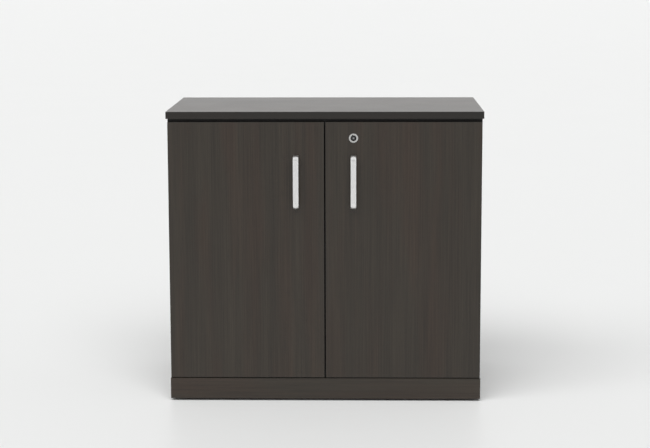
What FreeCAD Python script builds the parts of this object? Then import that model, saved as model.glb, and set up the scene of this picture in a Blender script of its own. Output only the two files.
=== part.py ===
import FreeCAD, Part
import math
import os
import Sketcher

# Low two-door office storage cupboard in dark laminated board.
# Lengths are millimetres. +X runs along the width, +Y towards the back, +Z up.
# The origin is the bottom centre of the whole object's box, handles included.
# Boards are drawn in their own corner frame and moved to their place by their Placement.
# The hinges are the feature that takes the most skill: a goose-neck arm hooks into the cup and
# carries the door's pin so close to the door's edge that an overlaid door clears the side panel.

V = FreeCAD.Vector

# Driving sizes, one row each: alias, value, meaning
SIZES = [
    ("cabinet_width", 800.0, "width over the side panels"),
    ("cabinet_depth", 450.0, "door face to the back edge"),
    ("cabinet_height", 750.0, "floor to the top of the slab"),
    ("board_thickness", 18.0, "thickness of every structural board"),
    ("edging", 1.0, "thickness of the edge strips"),
    ("slab_overhang", 2.5, "slab past the sides and past the door faces"),
    ("foot_gap", 6.0, "floor to the underside of the plinth"),
    ("plinth_height", 54.0, "height of the plinth boards"),
    ("plinth_rear_inset", 30.0, "back edge to the rear plinth board"),
    ("door_top_gap", 8.0, "slab underside to the door's top edge"),
    ("door_plinth_gap", 2.0, "plinth top to the door's bottom edge"),
    ("door_reveal", 1.5, "side panel face to the door's outer edge"),
    ("door_centre_gap", 3.0, "gap between the two doors"),
    ("door_carcass_gap", 2.5, "door back to the carcass front"),
    ("back_board", 8.0, "thickness of the back panel"),
    ("back_inset", 10.0, "back edge to the back panel"),
    ("groove_depth", 8.0, "depth of the grooves for the back panel"),
    ("groove_play", 0.2, "play of the back panel in its grooves, each side"),
    ("groove_end_play", 0.5, "play of the back panel at the groove bottoms"),
    ("shelf_play", 1.0, "shelf end to the side panel"),
    ("shelf_setback", 20.0, "carcass front to the shelf front"),
    ("shelf_back_gap", 1.0, "shelf to the back panel"),
    ("row_inset", 37.0, "carcass edge to a row of shelf-pin holes"),
    ("peg_diameter", 5.0, "shelf pin and its holes"),
    ("peg_pitch", 32.0, "pitch of the shelf-pin holes"),
    ("peg_count", 7.0, "holes in a row"),
    ("peg_bore_depth", 10.0, "depth of a shelf-pin hole"),
    ("peg_play", 0.05, "radial play of a shelf pin in its hole"),
    ("peg_set_in", 8.0, "length of a shelf pin inside the side panel"),
    ("peg_stand_out", 8.0, "length of a shelf pin inside the cupboard"),
    ("peg_collar_radius", 4.5, "collar of a shelf pin"),
    ("peg_collar_thick", 0.8, "thickness of that collar"),
    ("joint_inset", 60.0, "board edge to a cam fitting"),
    ("dowel_inset", 100.0, "board edge to a dowel"),
    ("dowel_radius", 4.0, "dowel bore"),
    ("dowel_play", 0.05, "radial play of a dowel"),
    ("dowel_side_depth", 12.0, "dowel bore in the side panel"),
    ("dowel_board_depth", 24.0, "dowel bore in the joined board"),
    ("dowel_end_play", 0.5, "play at each end of a dowel"),
    ("thread_end_play", 0.5, "tip of a screw, bolt or barrel to the bottom of its hole"),
    ("cam_radius", 7.5, "bore for a cam fitting"),
    ("cam_play", 0.05, "radial play of a cam fitting"),
    ("cam_depth", 12.5, "depth of that bore"),
    ("cam_reach", 34.0, "side panel face to the cam's axis"),
    ("cam_bolt_radius", 3.0, "shank of a connecting bolt"),
    ("cam_bolt_bore", 3.5, "bore in the board edge for that shank"),
    ("cam_thread_radius", 2.4, "thread of a connecting bolt"),
    ("cam_thread_length", 10.5, "thread in the side panel"),
    ("cam_slot_depth", 2.0, "driver slot of a cam fitting"),
    ("cam_slot_width", 1.6, "width of that slot"),
    ("thread_play", 0.05, "radial play round a screw or thread"),
    ("slab_screw_radius", 2.0, "screws that hold the slab"),
    ("slab_screw_length", 28.0, "length of those screws under the head"),
    ("slab_screw_x", 300.0, "slab screws from the middle"),
    ("slab_screw_inset", 50.0, "slab screws from the front and back edges"),
    ("screw_head_radius", 4.0, "pan head of a screw"),
    ("screw_head_thick", 2.2, "height of that head"),
    ("block_size", 50.0, "side of a plinth corner block"),
    ("block_height", 48.0, "height of a plinth corner block"),
    ("block_screw_radius", 2.25, "screw through a corner block"),
    ("block_screw_length", 56.0, "length of that screw under its head"),
    ("block_screw_offset", 15.0, "that screw from the block's centre"),
    ("foot_stud_radius", 4.0, "stud of a levelling foot"),
    ("foot_stud_top", 50.0, "top of the stud above the floor"),
    ("foot_pad_radius", 19.0, "pad of a levelling foot"),
    ("foot_pad_height", 4.5, "height of that pad"),
    ("foot_crown_radius", 14.0, "pad at its top"),
    ("foot_rim_height", 2.0, "straight rim of the pad"),
    ("foot_hex_radius", 7.5, "corner radius of the foot's hexagon"),
    ("foot_hex_height", 4.0, "height of that hexagon"),
    ("foot_stud_play", 0.06, "radial play of the stud in its nut"),
    ("foot_bore_play", 0.6, "radial play of the stud in its block"),
    ("nut_barrel_radius", 5.6, "barrel of a leveller nut"),
    ("nut_barrel_length", 12.0, "length of that barrel"),
    ("nut_flange_radius", 9.5, "flange of a leveller nut"),
    ("nut_flange_thick", 1.5, "thickness of that flange"),
    ("hinge_inset", 100.0, "door end to a hinge's middle"),
    ("cup_inset", 20.5, "door edge to the cup's axis"),
    ("cup_radius", 17.5, "bore for a hinge cup"),
    ("cup_play", 0.1, "play round and under a cup"),
    ("cup_depth", 14.0, "depth of a cup below the door's back"),
    ("cup_wall", 0.9, "wall of a cup"),
    ("cup_floor", 0.8, "floor of a cup"),
    ("cup_flange_thick", 1.0, "flange of a cup"),
    ("cup_flange_height", 60.0, "height of that flange"),
    ("cup_flange_width", 17.0, "width of the flange's ends"),
    ("cup_flange_round", 5.0, "corner rounding of the flange's ends"),
    ("cup_rim_width", 0.8, "rim of a cup past its bore"),
    ("cup_screw_pitch", 48.0, "pitch of the two screws of a cup"),
    ("cup_screw_offset", 5.5, "those screws from the cup's axis, inwards"),
    ("cup_screw_radius", 1.75, "those screws"),
    ("cup_screw_length", 11.0, "length of those screws under the head"),
    ("cup_head_radius", 3.4, "head of those screws"),
    ("cup_head_thick", 0.8, "height of that head"),
    ("pivot_inset", 7.0, "door edge to the hinge pin"),
    ("pivot_depth", 10.6, "door back to the hinge pin"),
    ("pivot_radius", 1.25, "hinge pin"),
    ("pivot_play", 0.05, "radial play of the arm's eye"),
    ("pivot_seat_play", 0.02, "radial play of the pin in its cheeks"),
    ("pivot_half_length", 9.0, "half length of the hinge pin"),
    ("eye_radius", 2.3, "outside of the arm's eye"),
    ("eye_half_width", 3.5, "half width of the arm's hook"),
    ("cheek_start", 3.9, "inside face of a bearing cheek from the middle"),
    ("cheek_end", 9.4, "outside face of a bearing cheek"),
    ("cheek_width", 7.0, "bearing cheek along the door"),
    ("cheek_height", 5.4, "bearing cheek above the cup's floor"),
    ("arm_thick", 2.5, "thickness of the hinge arm"),
    ("arm_bend", 2.0, "inside bend of the hinge arm"),
    ("arm_half_width", 6.5, "half width of the arm on its plate"),
    ("arm_rear", 78.0, "door back to the arm's rear end"),
    ("arm_wide_start", 12.0, "door back to the arm's wide part"),
    ("plate_thick", 4.0, "thickness of a mounting plate"),
    ("plate_front", 8.0, "carcass front to a mounting plate"),
    ("plate_length", 64.0, "length of a mounting plate"),
    ("plate_half_width", 7.5, "half width of a mounting plate"),
    ("wing_half_height", 23.0, "half height of the plate's wings"),
    ("wing_half_width", 6.5, "half width of those wings"),
    ("wing_thick", 2.2, "thickness of those wings"),
    ("plate_screw_pitch", 32.0, "pitch of the plate's two screws"),
    ("plate_screw_radius", 2.5, "those screws"),
    ("plate_screw_length", 12.0, "length of those screws under the head"),
    ("arm_screw_radius", 2.0, "screw that clamps the arm"),
    ("arm_screw_front", 26.0, "door back to the front arm screw"),
    ("arm_screw_rear", 58.0, "door back to the rear arm screw"),
    ("arm_screw_length", 5.5, "length of those screws under the head"),
    ("handle_x", 73.0, "handle from the middle of the cabinet"),
    ("handle_drop", 152.0, "door top to the handle's middle"),
    ("handle_pitch", 128.0, "pitch of the handle's screws"),
    ("handle_projection", 28.0, "handle past the door's face"),
    ("handle_width", 14.5, "width of the handle's bar"),
    ("handle_thick", 9.0, "thickness of the handle's bar"),
    ("handle_crown", 1.4, "rise of the bar's crowned face"),
    ("handle_bend", 9.0, "bend of the bar's middle line"),
    ("handle_screw_radius", 2.0, "screws of the handle"),
    ("handle_screw_grip", 9.0, "screw inside the handle's foot"),
    ("handle_bore_play", 0.5, "radial play of those screws in the door"),
    ("bumper_radius", 4.0, "door bumper"),
    ("bumper_top_radius", 3.0, "door bumper at its face"),
    ("bumper_thick", 2.2, "height of a door bumper"),
    ("bumper_inset", 12.0, "door's inner edge to a bumper"),
    ("lock_drop", 41.0, "door top to the lock's axis"),
    ("lock_flange_radius", 12.0, "rosette of the lock"),
    ("lock_flange_thick", 2.5, "height of that rosette"),
    ("lock_flange_bevel", 1.0, "bevel of that rosette"),
    ("lock_barrel_radius", 9.25, "barrel of the lock"),
    ("lock_barrel_length", 22.0, "door face to the barrel's end"),
    ("lock_bore_play", 0.15, "radial play of the barrel in the door"),
    ("lock_keyway_radius", 7.3, "round keyway of the lock"),
    ("lock_keyway_depth", 6.5, "rosette face to the keyway's shoulder"),
    ("lock_notch_width", 1.8, "index notch beside the keyway"),
    ("lock_notch_reach", 9.0, "lock's axis to the notch's end"),
    ("lock_notch_depth", 2.0, "depth of the notch"),
    ("plug_radius", 5.5, "plug of the lock"),
    ("plug_play", 0.05, "play of the plug, round it and behind its head"),
    ("plug_head_thick", 1.2, "head of the plug, which rests on the shoulder"),
    ("plug_post_radius", 2.6, "post in the middle of the keyway"),
    ("plug_post_inset", 0.8, "rosette face to the end of the post"),
    ("plug_pin_ring", 4.3, "axis to the pins of the plug"),
    ("plug_pin_radius", 0.8, "bore of a pin"),
    ("plug_pin_depth", 2.0, "keyway's floor to a pin"),
    ("plug_pin_count", 7.0, "pins of the plug"),
    ("plug_end_radius", 3.5, "end of the plug that carries the cam"),
    ("lock_nut_thick", 3.2, "nut behind the lock"),
    ("lock_nut_radius", 13.8, "corner radius of that nut"),
    ("cam_blade_thick", 2.4, "cam of the lock"),
    ("cam_blade_gap", 0.3, "barrel end to the cam"),
    ("cam_blade_length", 26.0, "axis to the tip of the cam"),
    ("cam_boss_radius", 8.0, "cam round the axis"),
    ("cam_tip_half_width", 5.5, "half width of the cam's tip"),
    ("cam_tip_round", 3.0, "rounding of the cam's tip"),
    ("cam_screw_head_radius", 4.6, "head of the cam's screw"),
    ("cam_screw_head_thick", 2.2, "height of that head"),
    ("cam_screw_radius", 1.6, "thread of the cam's screw"),
    ("cam_screw_length", 9.0, "length of that thread"),
    ("strike_thick", 1.2, "sheet of the strike plate"),
    ("strike_drop", 15.0, "strike plate below the inner top"),
    ("strike_foot", 22.0, "foot of the strike plate under the inner top"),
    ("strike_half_width", 16.0, "half width of the strike plate"),
    ("strike_screw_x", 9.0, "its screws from its middle"),
    ("catch_screw_radius", 1.6, "small screws of the strike and the keeper"),
    ("catch_screw_length", 12.0, "length of those screws under the head"),
    ("catch_head_radius", 3.0, "head of those screws"),
    ("catch_head_thick", 1.6, "height of that head"),
    ("bolt_edge", 30.0, "middle of the cabinet to the slide bolt"),
    ("bolt_radius", 3.0, "rod of the slide bolt"),
    ("bolt_play", 0.08, "radial play of the rod in its loops"),
    ("bolt_axis", 12.0, "door back to the rod's axis"),
    ("bolt_travel", 13.0, "travel of the slide bolt"),
    ("bolt_length", 76.0, "length of the rod"),
    ("bolt_clear", 1.5, "rod's tip below the keeper when drawn back"),
    ("bolt_bore_play", 0.6, "radial play of the rod in the keeper"),
    ("guide_plate_thick", 2.0, "plate of the bolt's guide"),
    ("guide_half_width", 9.0, "half width of that plate"),
    ("guide_drop", 5.0, "underside of the inner top to the guide"),
    ("guide_height", 66.0, "height of the guide"),
    ("loop_height", 10.0, "height of a loop of the guide"),
    ("loop_half_width", 6.0, "half width of a loop"),
    ("loop_wall", 2.8, "loop past the rod"),
    ("knob_radius", 3.0, "knob of the slide bolt"),
    ("knob_length", 12.0, "knob past the rod's axis"),
    ("guide_screw_inset", 17.0, "guide's end to its screw"),
    ("guide_screw_radius", 1.6, "screws of the guide"),
    ("guide_screw_length", 10.0, "length of those screws under the head"),
    ("keeper_thick", 1.5, "keeper plate"),
    ("keeper_half_width", 16.0, "half width of the keeper plate"),
    ("keeper_depth", 16.0, "keeper plate, front to back"),
    ("keeper_screw_x", 10.5, "its screws from its middle"),
    ("overrun", 1.0, "cutting shape past the face that it cuts"),
]

doc = FreeCAD.newDocument("storage_cabinet")
sheet = doc.addObject("Spreadsheet::Sheet", "Sizes")
for row, (alias, value, meaning) in enumerate(SIZES, 1):
    sheet.set("A%d" % row, alias)
    sheet.set("B%d" % row, str(value))
    sheet.set("C%d" % row, meaning)
    sheet.setAlias("B%d" % row, alias)
doc.recompute()


# Expressions: every size and place below is a text worked out from the sheet

ALIASES = [entry[0] for entry in SIZES]


def ex(text):
    """Turn words of the sheet into references: {board_thickness} becomes Sizes.board_thickness."""
    for name in ALIASES:
        text = text.replace("{" + name + "}", "Sizes." + name)
    return text


def num(text):
    """The value of such an expression."""
    return float(sheet.evalExpression(text))


def neg(text):
    return "(-(" + text + "))"


half_width = ex("({cabinet_width} / 2)")
inner_x = ex("({cabinet_width} / 2 - {board_thickness})")
front_y = ex("(-({cabinet_depth} - {handle_projection}) / 2)")
door_back_y = f"({front_y} + Sizes.board_thickness)"
carcass_front_y = f"({door_back_y} + Sizes.door_carcass_gap)"
board_front_y = f"({carcass_front_y} + Sizes.edging)"
back_y = f"({front_y} + Sizes.cabinet_depth)"
carcass_depth = f"({back_y} - {board_front_y})"
back_panel_y = f"({back_y} - Sizes.back_inset - Sizes.back_board)"
carcass_z = ex("({foot_gap} + {plinth_height})")
floor_z = f"({carcass_z} + Sizes.board_thickness)"
slab_z = ex("({cabinet_height} - {board_thickness})")
ceiling_z = f"({slab_z} - Sizes.board_thickness)"
carcass_height = f"({slab_z} - {carcass_z})"
door_z = f"({carcass_z} + Sizes.door_plinth_gap)"
door_top_z = f"({slab_z} - Sizes.door_top_gap)"
door_height = f"({door_top_z} - {door_z})"
door_outer_x = f"({half_width} - Sizes.door_reveal)"
door_inner_x = ex("({door_centre_gap} / 2)")
door_width = f"({door_outer_x} - {door_inner_x})"
front_row_y = f"({carcass_front_y} + Sizes.row_inset)"
rear_row_y = f"({back_panel_y} - Sizes.row_inset)"
middle_z = f"(({floor_z} + {ceiling_z}) / 2)"
row_first_z = f"({middle_z} - Sizes.board_thickness / 2 - (Sizes.peg_count - 1) / 2 * Sizes.peg_pitch)"
peg_z = f"({middle_z} - Sizes.board_thickness / 2)"
shelf_z = f"({peg_z} + Sizes.peg_diameter / 2)"
low_hinge_z = f"({door_z} + Sizes.hinge_inset)"
high_hinge_z = f"({door_top_z} - Sizes.hinge_inset)"
handle_z = f"({door_top_z} - Sizes.handle_drop)"
lock_z = f"({door_top_z} - Sizes.lock_drop)"
bolt_y = f"({door_back_y} + Sizes.bolt_axis)"


# Document tools

NODES = []
BOARD_SIZE = {}


def node(obj, label):
    """Name a finished piece; its file takes the same name."""
    obj.Label = label
    NODES.append(obj)
    return obj


def place(obj, where, rotation=None):
    """Bind an object's place to the sheet; rotation is fixed."""
    if rotation is not None:
        obj.Placement = FreeCAD.Placement(V(), rotation)
    for axis, text in zip("xyz", where):
        obj.setExpression(".Placement.Base." + axis, text)
    return obj


def box(name, where, size):
    obj = doc.addObject("Part::Box", name)
    for prop, text in zip(("Length", "Width", "Height"), size):
        obj.setExpression(prop, text)
    return place(obj, where)


TURN = {
    "x": FreeCAD.Rotation(V(0, 1, 0), 90),
    "-x": FreeCAD.Rotation(V(0, 1, 0), -90),
    "y": FreeCAD.Rotation(V(1, 0, 0), -90),
    "-y": FreeCAD.Rotation(V(1, 0, 0), 90),
    "z": FreeCAD.Rotation(),
    "-z": FreeCAD.Rotation(V(1, 0, 0), 180),
}
TURN_ROUND = FreeCAD.Rotation(V(0, 0, 1), 180)


def rod(name, where, radius, length, axis="z"):
    """A cylinder that runs from a place along an axis."""
    obj = doc.addObject("Part::Cylinder", name)
    obj.setExpression("Radius", radius)
    obj.setExpression("Height", length)
    return place(obj, where, TURN[axis])


def taper(name, where, radius, end_radius, length, axis="z"):
    obj = doc.addObject("Part::Cone", name)
    obj.setExpression("Radius1", radius)
    obj.setExpression("Radius2", end_radius)
    obj.setExpression("Height", length)
    return place(obj, where, TURN[axis])


def hexagon(name, where, radius, length, axis="z"):
    obj = doc.addObject("Part::Prism", name)
    obj.Polygon = 6
    obj.setExpression("Circumradius", radius)
    obj.setExpression("Height", length)
    return place(obj, where, TURN[axis])


def fuse(name, shapes):
    obj = doc.addObject("Part::MultiFuse", name)
    obj.Shapes = shapes
    obj.Refine = True
    return obj


def cut(name, base, tools):
    tool = tools[0]
    if len(tools) > 1:
        tool = doc.addObject("Part::MultiFuse", name + "_tools")
        tool.Shapes = tools
    obj = doc.addObject("Part::Cut", name)
    obj.Base = base
    obj.Tool = tool
    return obj


def common(name, first, second):
    obj = doc.addObject("Part::Common", name)
    obj.Base = first
    obj.Tool = second
    return obj


def copy(source, where, rotation=None):
    """A linked copy of a piece at another place, which takes the place of the source's own."""
    obj = doc.addObject("App::Link", source.Name + "_copy")
    obj.LinkedObject = source
    return place(obj, where, rotation or FreeCAD.Rotation())


def group(name, parts):
    """Separate like pieces kept together as one sub-part."""
    obj = doc.addObject("Part::Compound", name)
    obj.Links = parts
    return obj


def mirrored(name, source):
    """The same piece on the other side of the cabinet."""
    obj = doc.addObject("Part::Mirroring", name)
    obj.Source = source
    obj.Base = V()
    obj.Normal = V(1, 0, 0)
    return obj


def plane_of(body, role):
    return [item for item in body.Origin.OriginFeatures if item.Role == role][0]


def sketch_on(body, name, role, offset="0"):
    sketch = body.newObject("Sketcher::SketchObject", name)
    sketch.AttachmentSupport = [(plane_of(body, role), "")]
    sketch.MapMode = "FlatFace"
    sketch.setExpression(".AttachmentOffset.Base.z", offset)
    return sketch


def bind(sketch, kind, args, text):
    """Add one dimension to a sketch and bind it to the sheet."""
    index = sketch.addConstraint(Sketcher.Constraint(kind, *args, num(text)))
    sketch.setExpression("Constraints[%d]" % index, text)


def pin_point(sketch, geo, pos, corner):
    bind(sketch, "DistanceX", (-1, 1, geo, pos), corner[0])
    bind(sketch, "DistanceY", (-1, 1, geo, pos), corner[1])


def circle(sketch, corner, radius):
    centre = V(num(corner[0]), num(corner[1]), 0)
    geo = sketch.addGeometry(Part.Circle(centre, V(0, 0, 1), num(radius)), False)
    pin_point(sketch, geo, 3, corner)
    bind(sketch, "Radius", (geo,), radius)


def outline(sketch, corners):
    """A closed outline through corners (x, y, rounding); no rounding is a sharp corner."""
    spots = [V(num(corner[0]), num(corner[1]), 0) for corner in corners]
    count = len(corners)
    starts, ends, arcs = list(spots), list(spots), {}
    for i in range(count):
        if not corners[i][2:]:
            continue
        before = (spots[i - 1] - spots[i]).normalize()
        after = (spots[(i + 1) % count] - spots[i]).normalize()
        radius = num(corners[i][2])
        half = before.getAngle(after) / 2
        reach = radius / math.tan(half)
        middle = (before + after).normalize()
        ends[i] = spots[i] + before * reach
        starts[i] = spots[i] + after * reach
        arcs[i] = spots[i] + middle * (radius / math.sin(half) - radius)
    lines = []
    for i in range(count):
        lines.append(sketch.addGeometry(Part.LineSegment(starts[i], ends[(i + 1) % count]), False))
    for i in range(count):
        last = lines[i - 1]
        if i not in arcs:
            sketch.addConstraint(Sketcher.Constraint("Coincident", last, 2, lines[i], 1))
            pin_point(sketch, lines[i], 1, corners[i])
            continue
        arc = sketch.addGeometry(Part.Arc(ends[i], arcs[i], starts[i]), False)
        turn = (arcs[i] - ends[i]).cross(starts[i] - ends[i]).z
        first, second = (1, 2) if turn > 0 else (2, 1)
        sketch.addConstraint(Sketcher.Constraint("Tangent", last, 2, arc, first))
        sketch.addConstraint(Sketcher.Constraint("Tangent", arc, second, lines[i], 1))
        bind(sketch, "Radius", (arc,), corners[i][2])
        point = sketch.addGeometry(Part.Point(spots[i]), True)
        sketch.addConstraint(Sketcher.Constraint("PointOnObject", point, 1, last))
        sketch.addConstraint(Sketcher.Constraint("PointOnObject", point, 1, lines[i]))
        pin_point(sketch, point, 1, corners[i])


def rectangle(sketch, low, size):
    right = f"({low[0]} + {size[0]})"
    top = f"({low[1]} + {size[1]})"
    outline(sketch, [(low[0], low[1]), (right, low[1]), (right, top), (low[0], top)])


def new_body(name, where=("0", "0", "0"), rotation=None):
    return place(doc.addObject("PartDesign::Body", name), where, rotation)


def pad(body, sketch, length, reverse=False, symmetric=False):
    feature = body.newObject("PartDesign::Pad", sketch.Name + "_pad")
    feature.Profile = sketch
    feature.setExpression("Length", length)
    feature.Reversed = reverse
    feature.Midplane = symmetric
    doc.recompute()
    return feature


def pocket(body, sketch, depth=None, reverse=False):
    """Cut a sketch into a body; no depth cuts right through."""
    before = body.Shape.Volume
    feature = body.newObject("PartDesign::Pocket", sketch.Name + "_cut")
    feature.Profile = sketch
    feature.Reversed = reverse
    if depth is None:
        feature.Type = "ThroughAll"
    else:
        feature.setExpression("Length", depth)
    doc.recompute()
    if body.Shape.Volume >= before:
        raise RuntimeError(sketch.Name + " removes nothing")
    return feature


# The faces of a board: sketch plane, the size that a far face lies at, and the way into the material
FACES = {
    "-x": ("YZ_Plane", None, True),
    "+x": ("YZ_Plane", "length", False),
    "-y": ("XZ_Plane", None, False),
    "+y": ("XZ_Plane", "width", True),
    "-z": ("XY_Plane", None, True),
    "+z": ("XY_Plane", "height", False),
}


def board(name, where, size):
    """A board drawn from its lowest corner."""
    body = new_body(name, where)
    sketch = sketch_on(body, name + "_face", "XY_Plane")
    rectangle(sketch, ("0", "0"), size)
    pad(body, sketch, size[2])
    BOARD_SIZE[name] = dict(zip(("length", "width", "height"), size))
    return body


def face_sketch(body, name, face):
    role, extent, reverse = FACES[face]
    offset = "0"
    if extent:
        offset = BOARD_SIZE[body.Name][extent]
    if face == "+y":
        offset = neg(offset)
    return sketch_on(body, body.Name + "_" + name, role, offset), reverse


def bore(body, name, face, spots, radius, depth=None):
    """Round holes into one face of a board, at places measured from its lowest corner."""
    sketch, reverse = face_sketch(body, name, face)
    for spot in spots:
        circle(sketch, spot, radius)
    return pocket(body, sketch, depth, reverse)


def groove(body, name, face, low, size, depth):
    sketch, reverse = face_sketch(body, name, face)
    rectangle(sketch, low, size)
    return pocket(body, sketch, depth, reverse)


def row_of(body, feature, pitch, count):
    """Repeat a cut upwards."""
    pattern = body.newObject("PartDesign::LinearPattern", feature.Name + "_row")
    pattern.Originals = [feature]
    pattern.Direction = (plane_of(body, "Z_Axis"), [""])
    pattern.setExpression("Length", f"({pitch} * ({count} - 1))")
    pattern.setExpression("Occurrences", count)
    body.Tip = pattern
    doc.recompute()
    return pattern


def strips(name, label, low, size):
    """Edge strips round the four narrow edges of a board that stands across Y."""
    x, y, z = low
    dx, dy, dz = size
    e = "Sizes.edging"
    inner_z = f"({z} + {e})"
    inner_dz = f"({dz} - 2 * {e})"
    parts = [
        box(name + "_low", low, (dx, dy, e)),
        box(name + "_high", (x, y, f"({z} + {dz} - {e})"), (dx, dy, e)),
        box(name + "_left", (x, y, inner_z), (e, dy, inner_dz)),
        box(name + "_right", (f"({x} + {dx} - {e})", y, inner_z), (e, dy, inner_dz)),
    ]
    return node(group(name, parts), label)


HEAD_CROWN_SHARE = 0.8


def screw(name, radius, length, head_radius, head_thick):
    """A pan-head screw that points up from its head, which ends at the origin."""
    shank = rod(name + "_shank", ("0", "0", "0"), radius, length)
    crown = f"({head_radius} * {HEAD_CROWN_SHARE})"
    head = taper(name + "_head", ("0", "0", neg(head_thick)), crown, head_radius, head_thick)
    return fuse(name, [head, shank])


# Slab

slab_low_x = f"(-{half_width} - Sizes.slab_overhang)"
slab_low_y = f"({front_y} - Sizes.slab_overhang)"
slab_width = ex("({cabinet_width} + 2 * {slab_overhang})")
slab_depth = ex("({cabinet_depth} + {slab_overhang})")


def slab_screw_spots(origin_x, origin_y):
    """The four slab screws, measured from a board's corner."""
    near = f"({carcass_front_y} + Sizes.slab_screw_inset - {origin_y})"
    far = f"({back_panel_y} - Sizes.slab_screw_inset - {origin_y})"
    return [(f"({side} * Sizes.slab_screw_x - {origin_x})", y) for side in (-1, 1) for y in (near, far)]


def make_slab():
    e = "Sizes.edging"
    low = (f"({slab_low_x} + {e})", f"({slab_low_y} + {e})", slab_z)
    size = (f"({slab_width} - 2 * {e})", f"({slab_depth} - 2 * {e})", "Sizes.board_thickness")
    body = board("top_slab", low, size)
    pilot_depth = ex("({slab_screw_length} - {board_thickness} + {overrun})")
    bore(body, "pilots", "-z", slab_screw_spots(low[0], low[1]),
         ex("({slab_screw_radius} + {thread_play})"), pilot_depth)
    node(body, "top_slab")
    t = "Sizes.board_thickness"
    side_size = (e, f"({slab_depth} - 2 * {e})", t)
    front = box("slab_front_strip", (slab_low_x, slab_low_y, slab_z), (slab_width, e, t))
    back = box("slab_back_strip", (slab_low_x, f"({back_y} - {e})", slab_z), (slab_width, e, t))
    left = box("slab_left_strip", (slab_low_x, low[1], slab_z), side_size)
    right = box("slab_right_strip", (f"(-{slab_low_x} - {e})", low[1], slab_z), side_size)
    node(group("slab_strips", [front, back, left, right]), "top_slab_edging")


# Carcass

def edge_rows(inset):
    """Two places along a carcass board's depth, as far from its front edge as from the back panel."""
    return [inset, f"({back_panel_y} - {board_front_y} - {inset})"]


groove_y = f"({back_panel_y} - Sizes.groove_play - {board_front_y})"
groove_width = ex("({back_board} + 2 * {groove_play})")


def tie_board(name, z, inner_face, outer_face):
    """The bottom panel or the inner top: grooved inside, cam bores on its hidden face."""
    width = f"(2 * {inner_x})"
    body = board(name, (neg(inner_x), board_front_y, z), (width, carcass_depth, "Sizes.board_thickness"))
    groove(body, "groove", inner_face, ("0", groove_y), (width, groove_width), "Sizes.groove_depth")
    mid = ex("({board_thickness} / 2)")
    for face in ("-x", "+x"):
        side = "left" if face == "-x" else "right"
        bore(body, side + "_dowels", face, [(y, mid) for y in edge_rows("Sizes.dowel_inset")],
             "Sizes.dowel_radius", "Sizes.dowel_board_depth")
        bore(body, side + "_bolts", face, [(y, mid) for y in edge_rows("Sizes.joint_inset")],
             "Sizes.cam_bolt_bore", "Sizes.cam_reach")
    spots = [(x, y) for x in ("Sizes.cam_reach", f"({width} - Sizes.cam_reach)")
             for y in edge_rows("Sizes.joint_inset")]
    bore(body, "cams", outer_face, spots, "Sizes.cam_radius", "Sizes.cam_depth")
    return node(body, name)


def make_inner_top():
    body = tie_board("inner_top", ceiling_z, "-z", "+z")
    bore(body, "slab_holes", "-z", slab_screw_spots(neg(inner_x), board_front_y),
         ex("({slab_screw_radius} + {thread_play})"))
    keeper_spot = (f"({inner_x} - Sizes.bolt_edge)", f"({bolt_y} - {board_front_y})")
    bore(body, "bolt_hole", "-z", [keeper_spot], ex("({bolt_radius} + {bolt_bore_play})"),
         ex("({bolt_travel} + {overrun})"))
    spots = [(f"({inner_x} + {x})", f"({y} - {board_front_y})") for x, y in catch_screw_spots()]
    bore(body, "catch_pilots", "-z", spots, ex("({catch_screw_radius} + {thread_play})"),
         "Sizes.catch_screw_length")


def make_side(name, left):
    low_x = neg(half_width) if left else inner_x
    face = "+x" if left else "-x"
    size = ("Sizes.board_thickness", carcass_depth, carcass_height)
    body = board(name, (low_x, board_front_y, carcass_z), size)
    groove(body, "groove", face, (groove_y, "0"), (groove_width, carcass_height), "Sizes.groove_depth")
    levels = [ex("({board_thickness} / 2)"), f"({carcass_height} - Sizes.board_thickness / 2)"]
    bore(body, "dowels", face, [(y, z) for y in edge_rows("Sizes.dowel_inset") for z in levels],
         "Sizes.dowel_radius", "Sizes.dowel_side_depth")
    bore(body, "bolts", face, [(y, z) for y in edge_rows("Sizes.joint_inset") for z in levels],
         ex("({cam_thread_radius} + {thread_play})"), ex("({cam_thread_length} + {thread_end_play})"))
    row = f"({front_row_y} - {board_front_y})"
    plate_spots = [(row, f"({z} - {carcass_z} + {side} * Sizes.plate_screw_pitch / 2)")
                   for z in (low_hinge_z, high_hinge_z) for side in (-1, 1)]
    bore(body, "hinge_holes", face, plate_spots, ex("({plate_screw_radius} + {thread_play})"),
         "Sizes.plate_screw_length")
    first = f"({row_first_z} - {carcass_z})"
    pegs = bore(body, "pegs", face, [(row, first), (f"({rear_row_y} - {board_front_y})", first)],
                ex("({peg_diameter} / 2 + {peg_play})"), "Sizes.peg_bore_depth")
    row_of(body, pegs, "Sizes.peg_pitch", "Sizes.peg_count")
    node(body, name)


def make_back_panel():
    sink = ex("({groove_depth} - {groove_end_play})")
    low = (f"(-{inner_x} - {sink})", back_panel_y, f"({floor_z} - {sink})")
    height = f"({ceiling_z} - {floor_z} + 2 * {sink})"
    size = (f"(2 * ({inner_x} + {sink}))", "Sizes.back_board", height)
    node(board("back_panel", low, size), "back_panel")


def make_carcass_edging():
    e, t = "Sizes.edging", "Sizes.board_thickness"
    parts = [
        box("edge_left", (neg(half_width), carcass_front_y, carcass_z), (t, e, carcass_height)),
        box("edge_right", (inner_x, carcass_front_y, carcass_z), (t, e, carcass_height)),
        box("edge_top", (neg(inner_x), carcass_front_y, ceiling_z), (f"(2 * {inner_x})", e, t)),
        box("edge_bottom", (neg(inner_x), carcass_front_y, carcass_z), (f"(2 * {inner_x})", e, t)),
    ]
    node(group("carcass_strips", parts), "carcass_edging")


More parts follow.
